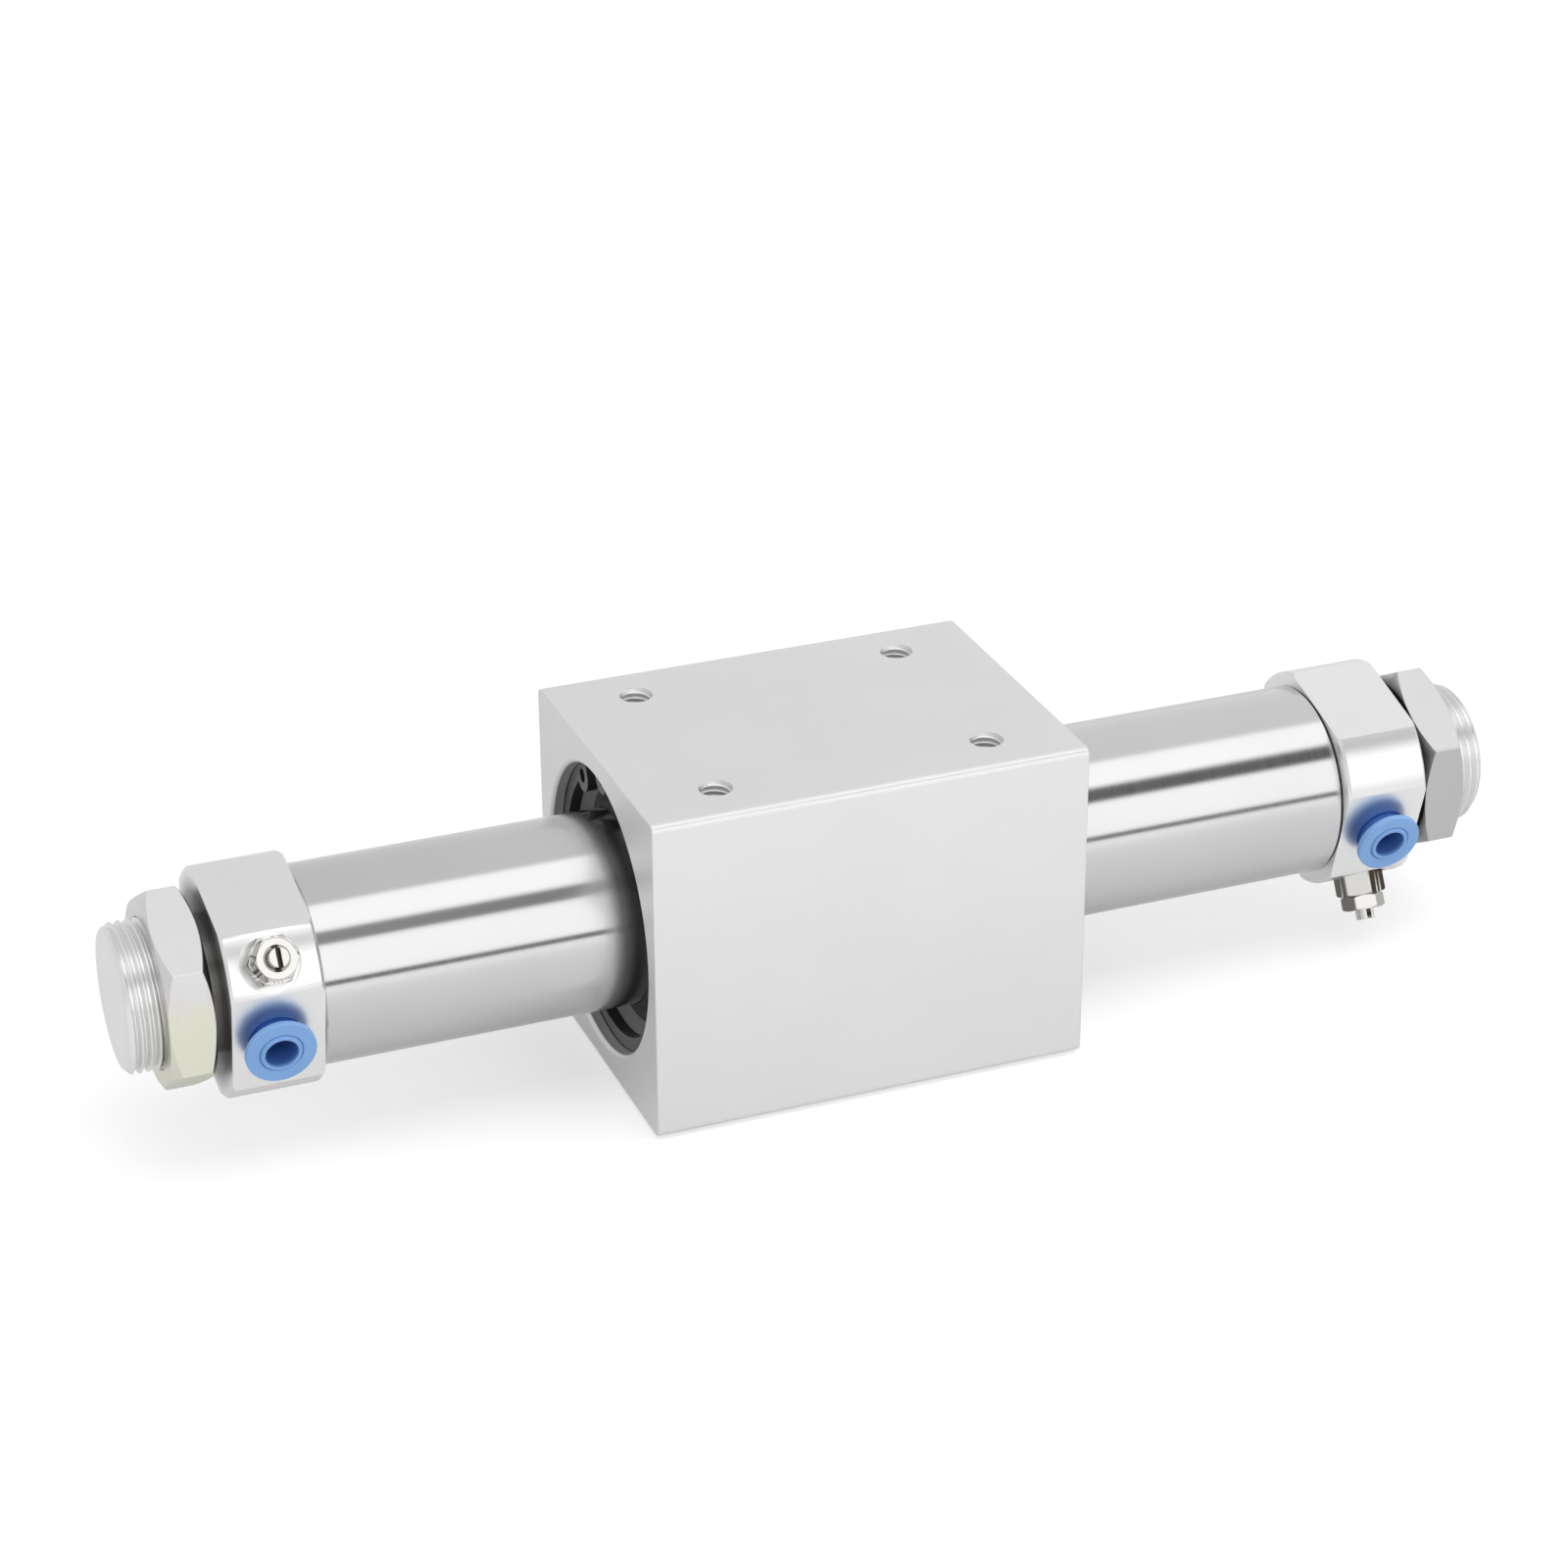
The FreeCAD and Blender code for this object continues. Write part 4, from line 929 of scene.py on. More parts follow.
# The nut's deep colour is painted reflection on its flats and painted shade on its inner face.
NUT_NICKEL = WorkedMetal("nickel_plated_nut", (0.77, 0.77, 0.765), 0.34, 0.02, Lay.EVEN, 1.5, 0.0003, 0.015,
                         deep_colour=(0.12, 0.12, 0.12))
STAINED_NICKEL = StainedMetal(**(vars(NUT_NICKEL) | {"name": "stained_nickel_nut"}))
# The brass's deep colour is painted reflection on the hexagons' flats and painted shade on the needle's slot
# floor.
PLATED_BRASS = WorkedMetal("nickel_plated_brass", (0.66, 0.65, 0.625), 0.12, 0.03, Lay.EVEN, 4.0, 0.0002,
                           0.04, deep_colour=(0.035, 0.027, 0.019))
# Far darker than bare aluminium: painted shade inside the block's bore and the tube, where these rings sit.
BORE_SHADED_ALUMINIUM = WorkedMetal("turned_aluminium", (0.12, 0.12, 0.122), 0.38, 0.06, Lay.ROUND, 3.0, 0.001,
                              0.06)
DARK_STEEL = WorkedMetal("phosphated_steel", (0.085, 0.085, 0.085), 0.36, 0.08, Lay.EVEN, 5.0, 0.001, 0.15,
                         0.8)
YOKE_STEEL = WorkedMetal("zinc_plated_steel", (0.52, 0.53, 0.54), 0.34, 0.06, Lay.ROUND, 3.0, 0.0015, 0.05)
MAGNET = WorkedMetal("plated_magnet", (0.58, 0.57, 0.55), 0.22, 0.05, Lay.EVEN, 2.0, 0.0008, 0.05)
# The plugs' painted shade darkens their neck, groove and hollow.
BLUE_PLASTIC = Moulded("blue_polythene", (0.235, 0.45, 0.82), (0.215, 0.42, 0.78), 0.40, 3.0, 0.0006,
                       painted_shade_colour=(0.024, 0.10, 0.42))
BLACK_RUBBER = Moulded("black_rubber", (0.022, 0.022, 0.024), (0.015, 0.015, 0.016), 0.5, 2.5, 0.003)
WEAR_RESIN = Moulded("filled_resin", (0.23, 0.16, 0.09), (0.16, 0.11, 0.06), 0.45, 2.0, 0.003)
URETHANE = Moulded("urethane", (0.16, 0.13, 0.10), (0.12, 0.10, 0.08), 0.4, 2.0, 0.002)

SLOT_FINISHES: dict[str, Finish] = {
    "stainless": STAINLESS, "block": ANODISED, "nickel": COVER_NICKEL, "inner_aluminium": BORE_SHADED_ALUMINIUM,
    "plated_steel": NUT_NICKEL, "dark_steel": DARK_STEEL, "yoke_steel": YOKE_STEEL, "magnet": MAGNET,
    "plated_brass": PLATED_BRASS, "blue_plastic": BLUE_PLASTIC, "black_rubber": BLACK_RUBBER,
    "wear_plastic": WEAR_RESIN, "bumper_rubber": URETHANE,
}


# ---- Sub-assemblies


@dataclass
class Tube:
    """Polished tube between the covers, in millimetres."""

    node: str = "cylinder_tube"
    wall: float = 1.5
    end_chamfer: float = 0.3
    columns: int = 256
    extent: Extent = field(init=False)

    def __post_init__(self) -> None:
        """Read the tube's length and radius from the frame."""
        self.extent = Extent.of(self.node)

    def build(self) -> None:
        """Turn the wall's section, with both outer edges broken, about the X axis."""
        end, radius, chamfer = self.extent.far, self.extent.half_height, self.end_chamfer
        inside = radius - self.wall
        section = [(-end, inside), (end, inside), (end, radius - chamfer), (end - chamfer, radius),
                   (chamfer - end, radius), (-end, radius - chamfer)]
        Piece("polished_tube", mesh_from("polished_tube", [lathe(section, self.columns)]), STAINLESS,
              "cylinder", (self.node,), "stainless").place()


@dataclass
class SliderBlock:
    """Square block with four threaded holes, in millimetres.

    Each hole's cone goes on below its mouth, a lap inside the thread's crests, and then hides its end in
    the thread's wall.
    """

    node: str = "slider_block"
    hole_thread: Thread = Thread(pitch=1.0, crest=2.5, depth=-0.52, samples=10, columns=72)
    sink_radius: float = 3.0
    hole_depth: float = 9.0
    hole_slack: float = 0.01
    spacing: tuple[float, float] = (50.0, 40.0)
    lip_overlap: float = 0.04
    cone_reach: float = 0.25
    cone_lap: float = 0.02
    hidden_width: float = 0.6
    hidden_drop: float = 0.2
    edge_round: float = 0.18
    extent: Extent = field(init=False)

    def __post_init__(self) -> None:
        """Read the block's box from the frame."""
        self.extent = Extent.of(self.node)

    def hole_centres(self) -> np.ndarray:
        """Centres of the four holes in the top face.

        Returns:
            The x and y of each.
        """
        x, y = self.extent.middle[:2]
        half_x, half_y = self.spacing[0] / 2, self.spacing[1] / 2
        return np.array([(x + i * half_x, y + j * half_y) for i in (-1, 1) for j in (-1, 1)])

    def in_holes(self, middles: np.ndarray) -> np.ndarray:
        """Mark the faces that belong to the holes' walls and floors.

        Args:
            middles: Middles of the faces, in millimetres.

        Returns:
            True for each face inside a hole.
        """
        flat = np.linalg.norm(middles[:, None, :2] - self.hole_centres()[None], axis=2).min(axis=1)
        floor = self.extent.high[2] - self.hole_depth - self.hole_slack
        return (flat < self.sink_radius) & (middles[:, 2] > floor)

    def hole_grid(self, centre: np.ndarray) -> list[Grid]:
        """Countersink, thread and floor of one hole.

        The thread is worked out about the X axis and then stood upright, x becoming z.

        Args:
            centre: The hole's x and y.

        Returns:
            The hole's patches.
        """
        top = float(self.extent.high[2])
        core = self.hole_thread.crest
        floor, mouth = top - self.hole_depth, top - (self.sink_radius - core)
        x, y, z = np.moveaxis(self.hole_thread.grid(floor, mouth).points, 2, 0)
        radius = np.minimum(np.hypot(y, z), self.sink_radius)
        angle = np.arctan2(z, y)
        thread = Grid(np.stack([x, radius * np.cos(angle), radius * np.sin(angle)], axis=2))
        cone_end = mouth - self.cone_reach
        cone = lathe([(top - self.lip_overlap / 2, self.sink_radius + self.lip_overlap),
                      (top - self.lip_overlap / 4, self.sink_radius - self.lip_overlap / 2),
                      (cone_end, core + self.cone_reach - self.cone_lap),
                      (cone_end - self.hidden_drop, core - self.cone_lap + self.hidden_width)],
                     self.hole_thread.columns, closed=False)
        bottom = lathe([(floor, 0.0), (floor, core + self.hidden_width)], self.hole_thread.columns,
                       closed=False)
        patches = []
        for patch in (thread, cone, bottom):
            x, y, z = np.moveaxis(patch.points, 2, 0)
            patches.append(patch.moved(np.stack([centre[0] + y, centre[1] + z, x], axis=2)))
        return patches

    def build(self) -> None:
        """Smooth the block's own solid and put threaded surfaces into its holes."""
        block = merged_copy("block_body", self.node, self.in_holes)
        Piece("block_body", block, ANODISED, "slider", (self.node,), "block",
              edge_round=self.edge_round).place()
        for index, centre in enumerate(self.hole_centres(), start=1):
            name = f"block_thread_{index}"
            mesh = mesh_from(name, self.hole_grid(centre))
            mesh.flip_normals()
            Piece(name, mesh, ANODISED, "slider", (), "block", sharp_degrees=50.0).place()


@dataclass
class HeadCover:
    """Turned cover with wrench flats and a threaded nose, in millimetres."""

    side: Side
    nose_thread: Thread = Thread(pitch=1.5, crest=13.0, depth=0.92, samples=24, columns=160, painted_root_shade=0.05)
    nose_chamfer: float = 1.0
    nut_slack: float = 0.02
    tucked: float = 0.6
    edge_round: float = 0.15
    extent: Extent = field(init=False)
    nut: Extent = field(init=False)

    def __post_init__(self) -> None:
        """Read the cover's reach and its nut's outer face from the frame."""
        self.extent = Extent.of(self.side.node("head_cover"))
        self.nut = Extent.of(self.side.node("mounting_nut"))

    def on_nose(self, middles: np.ndarray) -> np.ndarray:
        """Mark the faces of the free part of the nose.

        Args:
            middles: Middles of the faces, in millimetres.

        Returns:
            True beyond the nut's outer face.
        """
        return np.abs(middles[:, 0]) > self.nut.far + self.nut_slack

    def nose_grids(self) -> list[Grid]:
        """Threaded wall, chamfered end and both closing discs of the free nose.

        The wall's radius is the thread's, held below the chamfer's cone: end radius plus the
        distance from the end.

        Returns:
            Patches for the right end.
        """
        start, end = self.nut.far - self.tucked, self.extent.far
        wall = self.nose_thread.grid(start, end)
        x = wall.points[..., 0]
        end_radius = self.nose_thread.crest - self.nose_chamfer
        scale = np.minimum(1.0, (end_radius + end - x) / np.hypot(wall.points[..., 1], wall.points[..., 2]))
        wall.points[..., 1:] *= scale[..., None]
        disc = lathe([(end, end_radius * share) for share in DISC_SHARES], self.nose_thread.columns,
                     closed=False)
        back = Grid(np.stack([wall.points[0] * np.array([1.0, share, share]) for share in (0.0, 1.0)]))
        return [wall, disc, back]

    def build(self) -> None:
        """Smooth the cover's own solid and give its nose a real thread."""
        cover = self.side.node("head_cover")
        body = merged_copy(cover + "_body", cover, self.on_nose)
        Piece(cover + "_body", body, COVER_NICKEL, "cylinder", (cover,), "nickel",
              edge_round=self.edge_round).place()
        grids = self.nose_grids()
        if self.side is Side.LEFT:
            grids = [grid.moved(end_for_end(grid.points)) for grid in grids]
        name = self.side.node("nose_thread")
        Piece(name, mesh_from(name, grids), COVER_NICKEL, "cylinder", (), "nickel",
              sharp_degrees=35.0).place()


@dataclass
class MountingNut:
    """Hexagon nut on a nose, in millimetres."""

    side: Side
    corner_turn: float
    width: float = 32.0
    bore: float = 12.56
    bore_lead: float = 0.75
    edge_round: float = 0.16
    # Painted reflections on the flats, and painted shade on the face towards the cover.
    painted_flat_shades: tuple[float, ...] = (0.0,) * 6
    painted_inner_face_shade: float = 0.85

    def build(self) -> None:
        """Place the hexagon where the frame's nut is, turned as on the real part."""
        node = self.side.node("mounting_nut")
        extent = Extent.of(node)
        grid = HexagonNut(extent.near, extent.far, self.width, self.bore, bore_lead=self.bore_lead,
                          painted_flat_shades=self.painted_flat_shades, painted_start_shade=self.painted_inner_face_shade).grid()
        points = end_for_end(grid.points) if self.side is Side.LEFT else grid.points
        points = roll(points, self.corner_turn)
        name = self.side.node("hexagon_nut")
        mesh = mesh_from(name, [grid.moved(points)])
        finish = STAINED_NICKEL if self.side is Side.LEFT else NUT_NICKEL
        Piece(name, mesh, finish, "cylinder", (node,), "plated_steel", sharp_degrees=24.0,
              edge_round=self.edge_round).place()


@dataclass
class NeedleValve:
    """Hexagon bushing, locknut and slotted needle in a cross hole of a cover, in millimetres."""

    side: Side
    turn: float
    bushing_turn: float = 0.0
    locknut_turn: float = 0.0
    seat: float = 19.3
    bushing_head: float = 4.2
    bushing_width: float = 8.0
    locknut_length: float = 2.8
    locknut_width: float = 7.0
    bore: float = 1.75
    bore_lead: float = 0.5
    bushing_face: float = 1.02
    locknut_face: float = 0.97
    columns_per_flat: int = 12
    edge_round: float = 0.1
    # Painted reflections on the hexagons' flats, one shade for each flat.
    bushing_painted_shades: tuple[float, ...] = (0.0,) * 6
    locknut_painted_shades: tuple[float, ...] = (0.0,) * 6
    needle_radius: float = 1.7
    needle_round: float = 0.06
    rim_depth: float = 0.2
    slot_depth: float = 1.2
    wall_slack: float = 1.02

    def place_nut(self, name: str, node: str, nut: HexagonNut, own_turn: float) -> None:
        """Stand one of the small hexagons on the cover.

        Args:
            name: Name of the piece.
            node: Frame node that it stands for.
            nut: The hexagon, drawn along X.
            own_turn: How far it is screwed round, from a corner on the cylinder's direction.
        """
        station = float(Extent.of(node).middle[0])
        grid = nut.grid()
        grid = grid.moved(stand_out(roll(grid.points, own_turn), station, self.turn))
        Piece(name, mesh_from(name, [grid]), PLATED_BRASS, "cylinder", (node,), "plated_brass",
              sharp_degrees=24.0, edge_round=self.edge_round).place()

    def paint_slot_shade(self, mesh: bpy.types.Mesh, station: float) -> None:
        """Paint shade on the floor of the needle's slot.

        A point lies on it when it is deeper below the needle's top than the rim, by no more than the
        slot's depth, and nearer the needle's axis than its wall.

        Args:
            mesh: The needle's mesh, in metres.
            station: Place of the needle's axis along the cylinder, in millimetres.
        """
        points = np.empty(len(mesh.vertices) * 3, np.float32)
        mesh.vertices.foreach_get("co", points)
        points = points.reshape(-1, 3) / MM - np.array([station, 0.0, 0.0])
        outwards = stand_out(np.array([1.0, 0.0, 0.0]), 0.0, self.turn)
        height = points @ outwards
        aside = np.linalg.norm(points - height[:, None] * outwards, axis=1)
        below = height.max() - height
        wall = self.needle_radius * self.wall_slack
        floor = (below > self.rim_depth) & (below < self.slot_depth) & (aside < wall)
        mesh.attributes.new(SHADE, "FLOAT", "POINT").data.foreach_set("value", floor.astype(np.float32))

    def build(self) -> None:
        """Make both hexagons and smooth the needle's own solid."""
        top = self.seat + self.bushing_head
        self.place_nut(self.side.node("bushing_hexagon"), self.side.node("needle_bushing"),
                       HexagonNut(self.seat, top, self.bushing_width, self.bore,
                                  face_share=self.bushing_face, both_ends=False,
                                  columns_per_flat=self.columns_per_flat,
                                  painted_flat_shades=self.bushing_painted_shades), self.bushing_turn)
        self.place_nut(self.side.node("locknut_hexagon"), self.side.node("needle_locknut"),
                       HexagonNut(top, top + self.locknut_length, self.locknut_width, self.bore,
                                  face_share=self.locknut_face, bore_lead=self.bore_lead,
                                  columns_per_flat=self.columns_per_flat,
                                  painted_flat_shades=self.locknut_painted_shades), self.locknut_turn)
        needle = self.side.node("needle_screw")
        body = merged_copy(needle + "_body", needle)
        self.paint_slot_shade(body, float(Extent.of(self.side.node("needle_bushing")).middle[0]))
        Piece(needle + "_body", body, PLATED_BRASS, self.side.node("needle"), (needle,), "plated_brass",
              edge_round=self.needle_round).place()


@dataclass
class PortPlug:
    """Hollow plug with a grip groove behind its flange, in millimetres from the cylinder's axis, with painted
    shade on its shank, neck and hollow.
    """

    side: Side
    turn: float
    inner_end: float = 10.5
    seat: float = 17.5
    face: float = 21.0
    lip_face: float = 21.3
    shank: float = 4.75
    neck: float = 4.2
    flange: float = 6.1
    flange_thickness: float = 1.1
    hollow: float = 2.85
    hollow_end: float = 12.0
    lip: float = 3.6
    lip_groove: float = 0.25
    flange_round: float = 0.25
    shank_chamfer: float = 0.5
    columns: int = 128

    def section(self) -> list[tuple[tuple[float, float], float, float]]:
        """Half section of the plug, from the inner end round to the hollow.

        Returns:
            For each corner its height and radius, its rounding and its painted shade.
        """
        back = self.face - self.flange_thickness
        return [((self.inner_end, 0.0), 0.0, 1.0),
                ((self.inner_end, self.shank - self.shank_chamfer), 0.2, 1.0),
                ((self.inner_end + self.shank_chamfer, self.shank), 0.2, 1.0),
                ((self.seat, self.shank), 0.0, 1.0), ((self.seat, self.neck), 0.0, 0.85),
                ((back, self.neck), 0.25, 0.8), ((back, self.flange), 0.2, 0.0),
                ((self.face, self.flange), self.flange_round, 0.0),
                ((self.face, self.lip + self.lip_groove), 0.0, 0.0),
                ((self.face - self.lip_groove / 2, self.lip + self.lip_groove / 2), 0.0, 0.8),
                ((self.face, self.lip), 0.0, 0.2), ((self.lip_face, self.lip - 0.15), 0.1, 0.0),
                ((self.lip_face, self.hollow), 0.15, 0.1),
                ((self.lip_face - 1.0, self.hollow), 0.0, 0.75),
                ((self.hollow_end, self.hollow - 0.1), 0.5, 1.0), ((self.hollow_end, 0.0), 0.0, 1.0)]

    def build(self) -> None:
        """Turn the plug's section, with moulded radii, and stand it in its port."""
        corners, radii, shades = (list(part) for part in zip(*self.section()))
        profile = rounded(corners, radii)
        rows = np.repeat(shades, [FILLET_STEPS + 1 if radius > 0 else 1 for radius in radii])
        node = self.side.node("port_plug")
        station = self.side.sign * abs(float(Extent.of(self.side.node("needle_bushing")).middle[0]))
        grid = lathe(profile, self.columns, closed=False)
        grid = grid.moved(stand_out(grid.points, station, self.turn))
        grid.shade = np.repeat(rows[:, None], self.columns, axis=1)
        name = self.side.node("flanged_plug")
        Piece(name, mesh_from(name, [grid]), BLUE_PLASTIC, self.side.node("plug"), (node,), "blue_plastic",
              sharp_degrees=40.0).place()


@dataclass
class BoreMouth:
    """Retaining ring, end ring and scraper seen in a mouth of the block's bore."""

    side: Side
    edge_round: float = 0.1

    def build(self) -> None:
        """Smooth each ring's own solid."""
        for name, finish, slot in (("retaining_ring", DARK_STEEL, "dark_steel"),
                                   ("end_ring", BORE_SHADED_ALUMINIUM, "inner_aluminium"),
                                   ("scraper", BLACK_RUBBER, "black_rubber")):
            node = self.side.node(name)
            Piece(node + "_body", merged_copy(node + "_body", node), finish, "slider", (node,), slot,
                  edge_round=self.edge_round).place()


@dataclass
class FramePieces:
    """All of the frame's nodes; those inside the tube and the block keep their own meshes."""

    nodes: dict[str, bpy.types.Object]
    slots: dict[str, str]

    def dress(self) -> None:
        """Give every frame node the finish of its material slot."""
        for name, thing in self.nodes.items():
            finish = SLOT_FINISHES[self.slots[name]]
            thing.data.materials.clear()
            thing.data.materials.append(finish.material())
            LOG.info("%s: %s", name, finish.name)


# ---- Studio


@dataclass(frozen=True)
class StudioCamera:
    """Camera at the photograph's angle, in metres and degrees."""

    position: tuple[float, float, float] = (-0.232785, -0.578193, 0.324506)
    azimuth: float = -21.3506
    elevation: float = 26.2879
    roll: float = -0.3361
    lens: float = 90.42
    sensor: float = 36.0
    seen_from: float = 0.01
    seen_to: float = 50.0

    def build(self) -> None:
        """Make the camera and look along the view's direction."""
        azimuth, elevation, tilt = (math.radians(a) for a in (self.azimuth, self.elevation, self.roll))
        back = Vector((math.sin(azimuth) * math.cos(elevation), -math.cos(azimuth) * math.cos(elevation),
                       math.sin(elevation)))
        right = (-back).cross(Vector((0, 0, 1))).normalized()
        up = right.cross(-back)
        level = math.cos(tilt) * right + math.sin(tilt) * up
        upright = math.cos(tilt) * up - math.sin(tilt) * right
        lens = bpy.data.cameras.new("studio_camera")
        lens.sensor_width, lens.lens = self.sensor, self.lens
        lens.clip_start, lens.clip_end = self.seen_from, self.seen_to
        camera = bpy.data.objects.new("studio_camera", lens)
        camera.matrix_world = Matrix.Translation(self.position) @ Matrix(
            (level, upright, back)).transposed().to_4x4()
        bpy.context.scene.collection.objects.link(camera)
        bpy.context.scene.camera = camera


@dataclass(frozen=True)
class StripLight:
    """Height above the horizon, in degrees, and brightness of one stop of the studio's surroundings.

    The angle runs about the X axis: 0 is the front, 90 is overhead, 180 is the back.
    """

    angle: float
    brightness: float


def strips(*stops: tuple[float, float]) -> tuple[StripLight, ...]:
    """Row of soft strips from pairs of angle and brightness."""
    return tuple(StripLight(angle, brightness) for angle, brightness in stops)


@dataclass
class Studio:
    """Pale floor, a soft lamp and the surroundings that show in polished metal.

    Lengths are metres. A reach or a range in the surroundings is a pair of a direction's x, which is 0
    in the middle and 1 at the far right, and behind is a pair of angles about the X axis in degrees.
    """

    floor_drop: float = 0.0005
    floor_size: float = 8.0
    floor_lift: float = 0.48
    lift_in_metal: float = 0.42
    floor_front: tuple[float, float] = (-0.35, 0.05)
    # Colours of the paper behind and in front, as painted light.
    painted_floor_tones: tuple[float, float] = (0.60, 0.98)
    lamp_place: tuple[float, float, float] = (0.2, -0.5, 1.2)
    lamp_size: float = 0.7
    lamp_watts: float = 1.5
    brightest: float = 1.6
    right_reach: tuple[float, float] = (0.20, 0.40)
    far_right_reach: tuple[float, float] = (0.44, 0.56)
    far_right_share: float = 0.45
    left_reach: tuple[float, float] = (-0.90, -0.10)
    left_share: float = 0.60
    backdrop_reach: tuple[float, float] = (0.20, 0.42)
    backdrop_tones: tuple[float, float] = (0.74, 0.90)
    behind: tuple[float, float] = (92.0, 99.0)
    middle_strips: tuple[StripLight, ...] = strips(
        (-90, 0.80), (0, 0.12), (4.2, 0.12), (6.0, 1.38), (45, 1.42), (47.5, 0.43), (59.5, 0.43),
        (62.5, 1.44), (94, 1.44), (98, 0.72), (180, 0.76))
    right_strips: tuple[StripLight, ...] = strips(
        (-90, 0.80), (0, 0.18), (4.0, 0.18), (6.0, 1.34), (42, 1.38), (47, 0.04), (60, 0.06),
        (66, 1.44), (94, 1.44), (99, 0.90), (180, 0.90))

    def floor(self) -> None:
        """White paper that keeps the object's shadow, with painted light that makes its colour lighter
        towards the front.

        The camera and clear pieces see the paper lifted to white, and metal sees part of that lift.
        """
        drop = float(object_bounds()[0][2]) - self.floor_drop
        half = self.floor_size / 2
        mesh = bpy.data.meshes.new("studio_floor")
        mesh.from_pydata([(-half, -half, drop), (half, -half, drop), (half, half, drop), (-half, half, drop)],
                         [], [(0, 1, 2, 3)])
        surface = bpy.data.materials.new("studio_floor")
        surface.use_nodes = True
        nodes = NodeTree(surface.node_tree)
        # Painted light: the paper's colour passes from darker behind to lighter in front.
        front = nodes.spread(nodes.parts(nodes.place())[1], *self.floor_front, 1.0, 0.0)
        tone = nodes.ramp(front, [(share, (grey,) * 3) for share, grey in enumerate(self.painted_floor_tones)])
        paper = nodes.add("ShaderNodeBsdfDiffuse", Color=tone).outputs[0]
        lift = nodes.add("ShaderNodeEmission", Color=(1, 1, 1, 1), Strength=self.floor_lift).outputs[0]
        white = nodes.add("ShaderNodeAddShader", in0=paper, in1=lift).outputs[0]
        rays = nodes.add("ShaderNodeLightPath").outputs
        in_metal = nodes.math("MULTIPLY", rays["Is Glossy Ray"], self.lift_in_metal)
        seen = nodes.math("MAXIMUM", rays["Is Camera Ray"], rays["Is Transmission Ray"])
        seen = nodes.math("MAXIMUM", seen, in_metal)
        mixed = nodes.add("ShaderNodeMixShader", in0=seen, in1=paper, in2=white).outputs[0]
        nodes.add("ShaderNodeOutputMaterial", in0=mixed)
        mesh.materials.append(surface)
        floor = bpy.data.objects.new("studio_floor", mesh)
        bpy.context.scene.collection.objects.link(floor)
        floor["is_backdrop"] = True

    def strip_colour(self, nodes: NodeTree, share: bpy.types.NodeSocket, row: tuple[StripLight, ...]
                     ) -> bpy.types.NodeSocket:
        """Colour of one row of strips.

        Args:
            nodes: Node tree of the world.
            share: Angle about the X axis, from 0 at -180 degrees to 1 at 180.
            row: The strips, by rising angle.

        Returns:
            Their colour, as a share of the brightest one allowed.
        """
        return nodes.ramp(share, [((strip.angle + 180) / 360, (strip.brightness / self.brightest,) * 3)
                                  for strip in row])

    def world(self) -> None:
        """Pale backdrop, and soft strips in front and overhead that run along the cylinder.

        The camera and clear pieces see a white backdrop all round, and metal sees it only behind the
        object and a little dimmer. The strips are read by the direction's angle about the X axis, and
        towards the right they pass from the middle row to the right row, and partly back again at the
        far right. Backdrop and strips are both dimmer on the left.
        """
        world = bpy.data.worlds.new("studio_surroundings")
        bpy.context.scene.world = world
        world.use_nodes = True
        nodes = NodeTree(world.node_tree)
        way = nodes.add("ShaderNodeTexCoord").outputs["Generated"]
        parts = nodes.parts(way)
        front = nodes.math("MULTIPLY", parts[1], -1.0)
        angle = nodes.math("ARCTAN2", parts[2], front)
        share = nodes.spread(angle, -math.pi, math.pi)
        middle = self.strip_colour(nodes, share, self.middle_strips)
        right = self.strip_colour(nodes, share, self.right_strips)
        beyond = nodes.spread(parts[0], *self.far_right_reach, 1.0, self.far_right_share)
        rightwards = nodes.math("MULTIPLY", nodes.spread(parts[0], *self.right_reach), beyond)
        leftwards = nodes.spread(parts[0], *self.left_reach, self.left_share * self.brightest, self.brightest)
        middle_light = nodes.add("ShaderNodeBackground", in0=middle, Strength=leftwards).outputs[0]
        right_light = nodes.add("ShaderNodeBackground", in0=right, Strength=self.brightest).outputs[0]
        studio = nodes.add("ShaderNodeMixShader", in0=rightwards, in1=middle_light,
                           in2=right_light).outputs[0]
        pale = nodes.spread(parts[0], *self.backdrop_reach, *self.backdrop_tones)
        rays = nodes.add("ShaderNodeLightPath").outputs
        clear = nodes.math("MAXIMUM", rays["Is Camera Ray"], rays["Is Transmission Ray"])
        backdrop = nodes.add("ShaderNodeBackground", in0=(1, 1, 1, 1),
                             Strength=nodes.math("MAXIMUM", pale, clear)).outputs[0]
        behind = nodes.spread(angle, *(math.radians(degrees) for degrees in self.behind))
        in_metal = nodes.math("MULTIPLY", rays["Is Glossy Ray"], behind)
        seen = nodes.math("MAXIMUM", clear, in_metal)
        mixed = nodes.add("ShaderNodeMixShader", in0=seen, in1=studio, in2=backdrop).outputs[0]
        nodes.add("ShaderNodeOutputWorld", in0=mixed)

    def lamp(self) -> None:
        """Soft square lamp overhead, which faces the object and doesn't show in metal."""
        light = bpy.data.lights.new("overhead_lamp", "AREA")
        light.size, light.energy = self.lamp_size, self.lamp_watts
        lamp = bpy.data.objects.new("overhead_lamp", light)
        lamp.visible_glossy = False
        lamp.location = self.lamp_place
        lamp.rotation_euler = (-Vector(self.lamp_place)).to_track_quat("-Z", "Y").to_euler()
        bpy.context.scene.collection.objects.link(lamp)

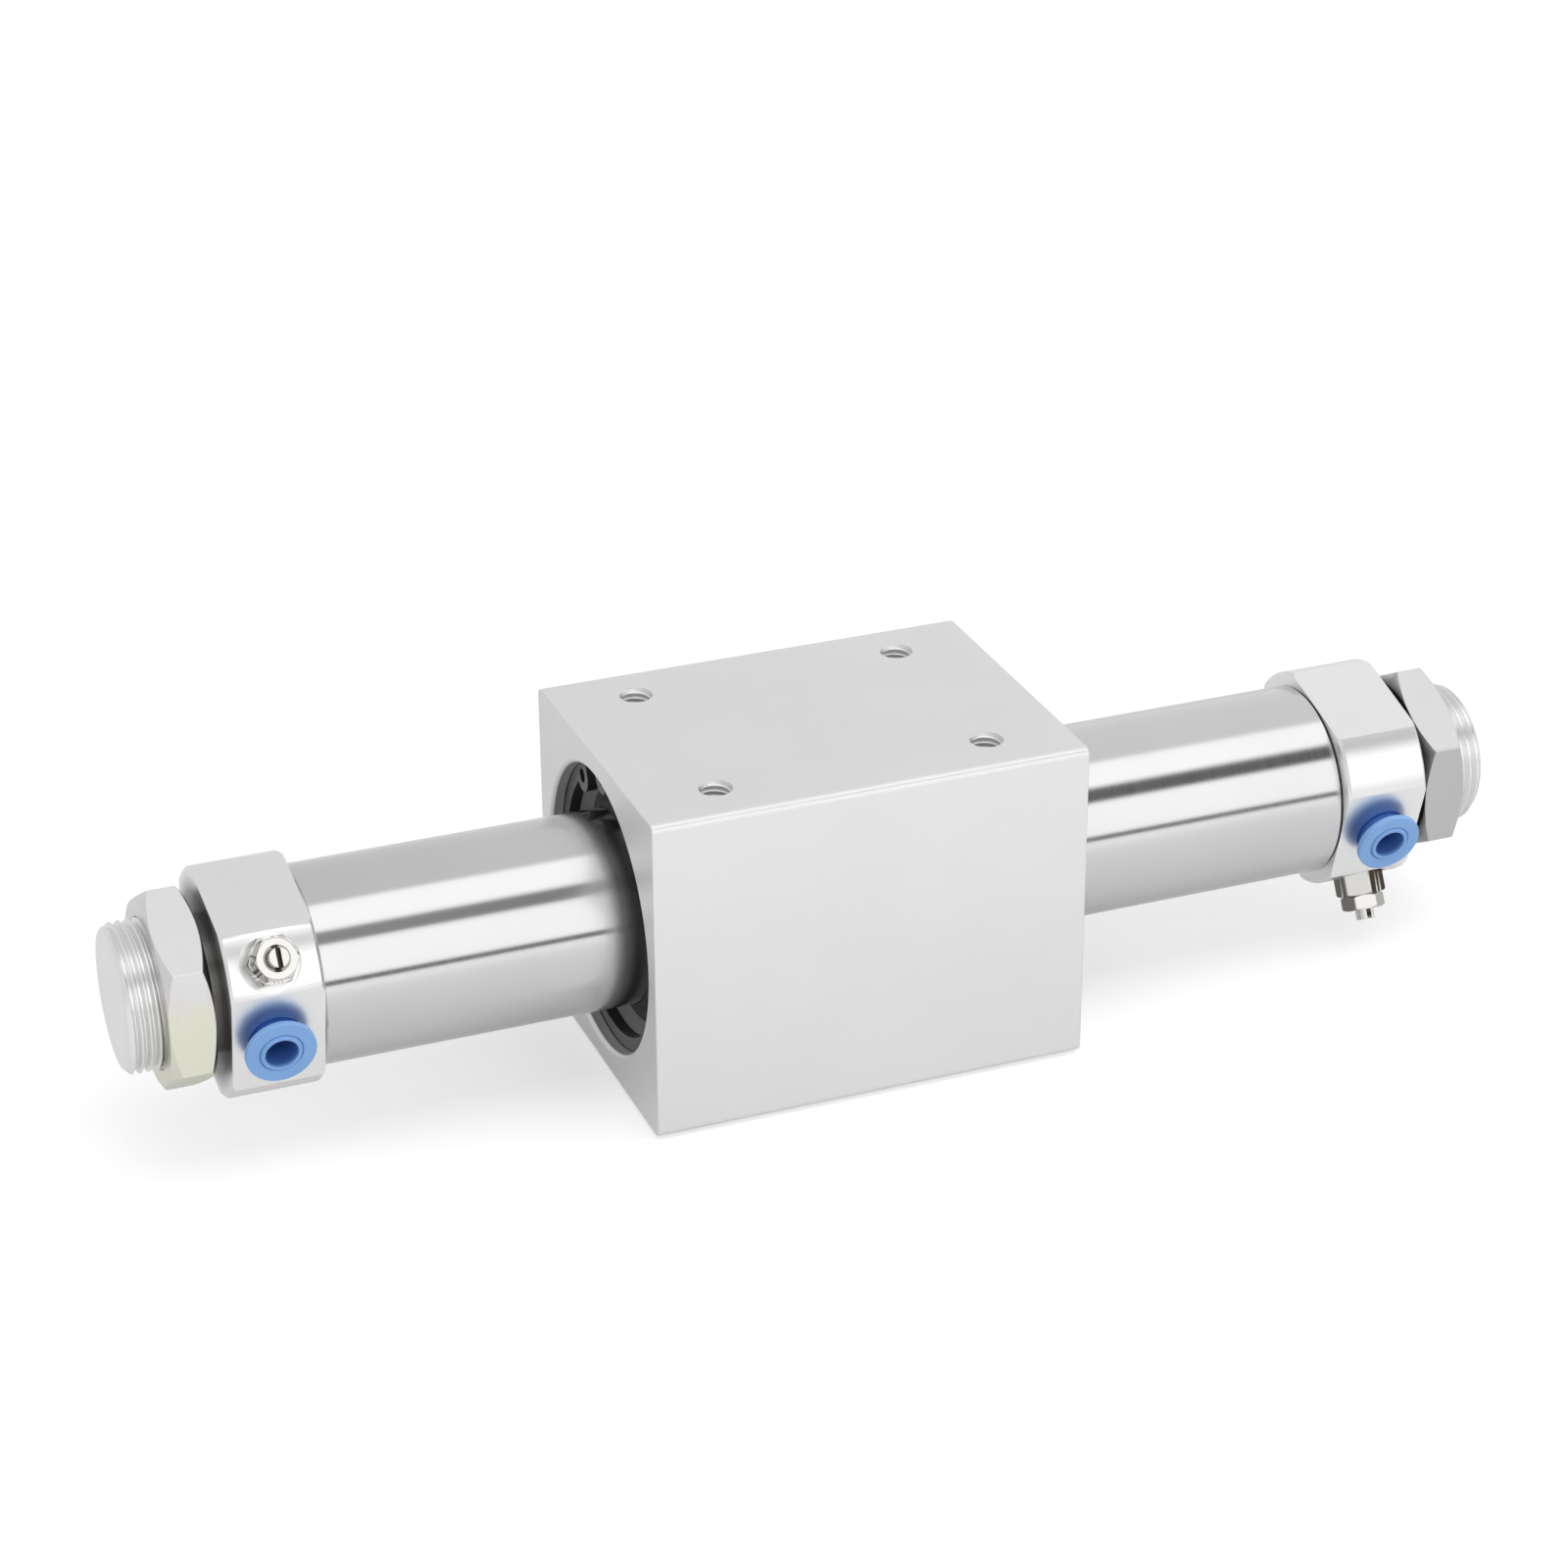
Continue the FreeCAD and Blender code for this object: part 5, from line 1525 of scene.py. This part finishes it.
    def build(self) -> None:
        """Set up the floor, the surroundings, the soft lamp overhead and the plain view."""
        self.floor()
        self.world()
        self.lamp()
        bpy.context.scene.view_settings.view_transform = "Standard"


# ---- The whole object


@dataclass(frozen=True)
class EndLayout:
    """How the pieces at one end are turned, in degrees, and how deep each flat of its hexagons shows.

    Port and needle are turned below the front, and the hexagons about their own axes. The tones, from 0
    to 1, imitate what the flats reflect in the photograph.
    """

    port: float
    needle: float
    nut: float
    bushing: float
    locknut: float
    nut_painted_shades: tuple[float, ...]
    bushing_painted_shades: tuple[float, ...]
    locknut_painted_shades: tuple[float, ...]


LAYOUTS: dict[Side, EndLayout] = {
    Side.LEFT: EndLayout(port=12.0, needle=-33.0, nut=25.0, bushing=0.0, locknut=0.0,
                         nut_painted_shades=(0.0,) * 6, bushing_painted_shades=(0.0, 0.4, 1.0, 1.0, 0.4, 0.1),
                         locknut_painted_shades=(0.0, 0.2, 0.8, 0.8, 0.2, 0.1)),
    Side.RIGHT: EndLayout(port=16.0, needle=61.0, nut=31.0, bushing=33.0, locknut=19.0,
                          nut_painted_shades=(0.0, 0.25, 0.36, 0.36, 0.2, 0.0),
                          bushing_painted_shades=(1.0, 0.0, 0.85, 0.7, 0.5, 0.9),
                          locknut_painted_shades=(0.35, 0.0, 0.65, 0.4, 0.4, 0.4)),
}


def main() -> None:
    """Load the frame and build every sub-assembly in order."""
    logging.basicConfig(level=logging.INFO, format="%(message)s")
    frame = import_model()
    slots = {entry["node"]: entry["material_slot"] for entry in frame["record"]["subparts"]}
    StudioCamera().build()
    FramePieces(frame["nodes"], slots).dress()
    Tube().build()
    SliderBlock().build()
    for side, layout in LAYOUTS.items():
        BoreMouth(side).build()
        HeadCover(side).build()
        MountingNut(side, layout.nut, painted_flat_shades=layout.nut_painted_shades).build()
        NeedleValve(side, layout.needle, layout.bushing, layout.locknut,
                    bushing_painted_shades=layout.bushing_painted_shades, locknut_painted_shades=layout.locknut_painted_shades).build()
        PortPlug(side, layout.port).build()
    Studio().build()


if __name__ == "__main__":
    main()
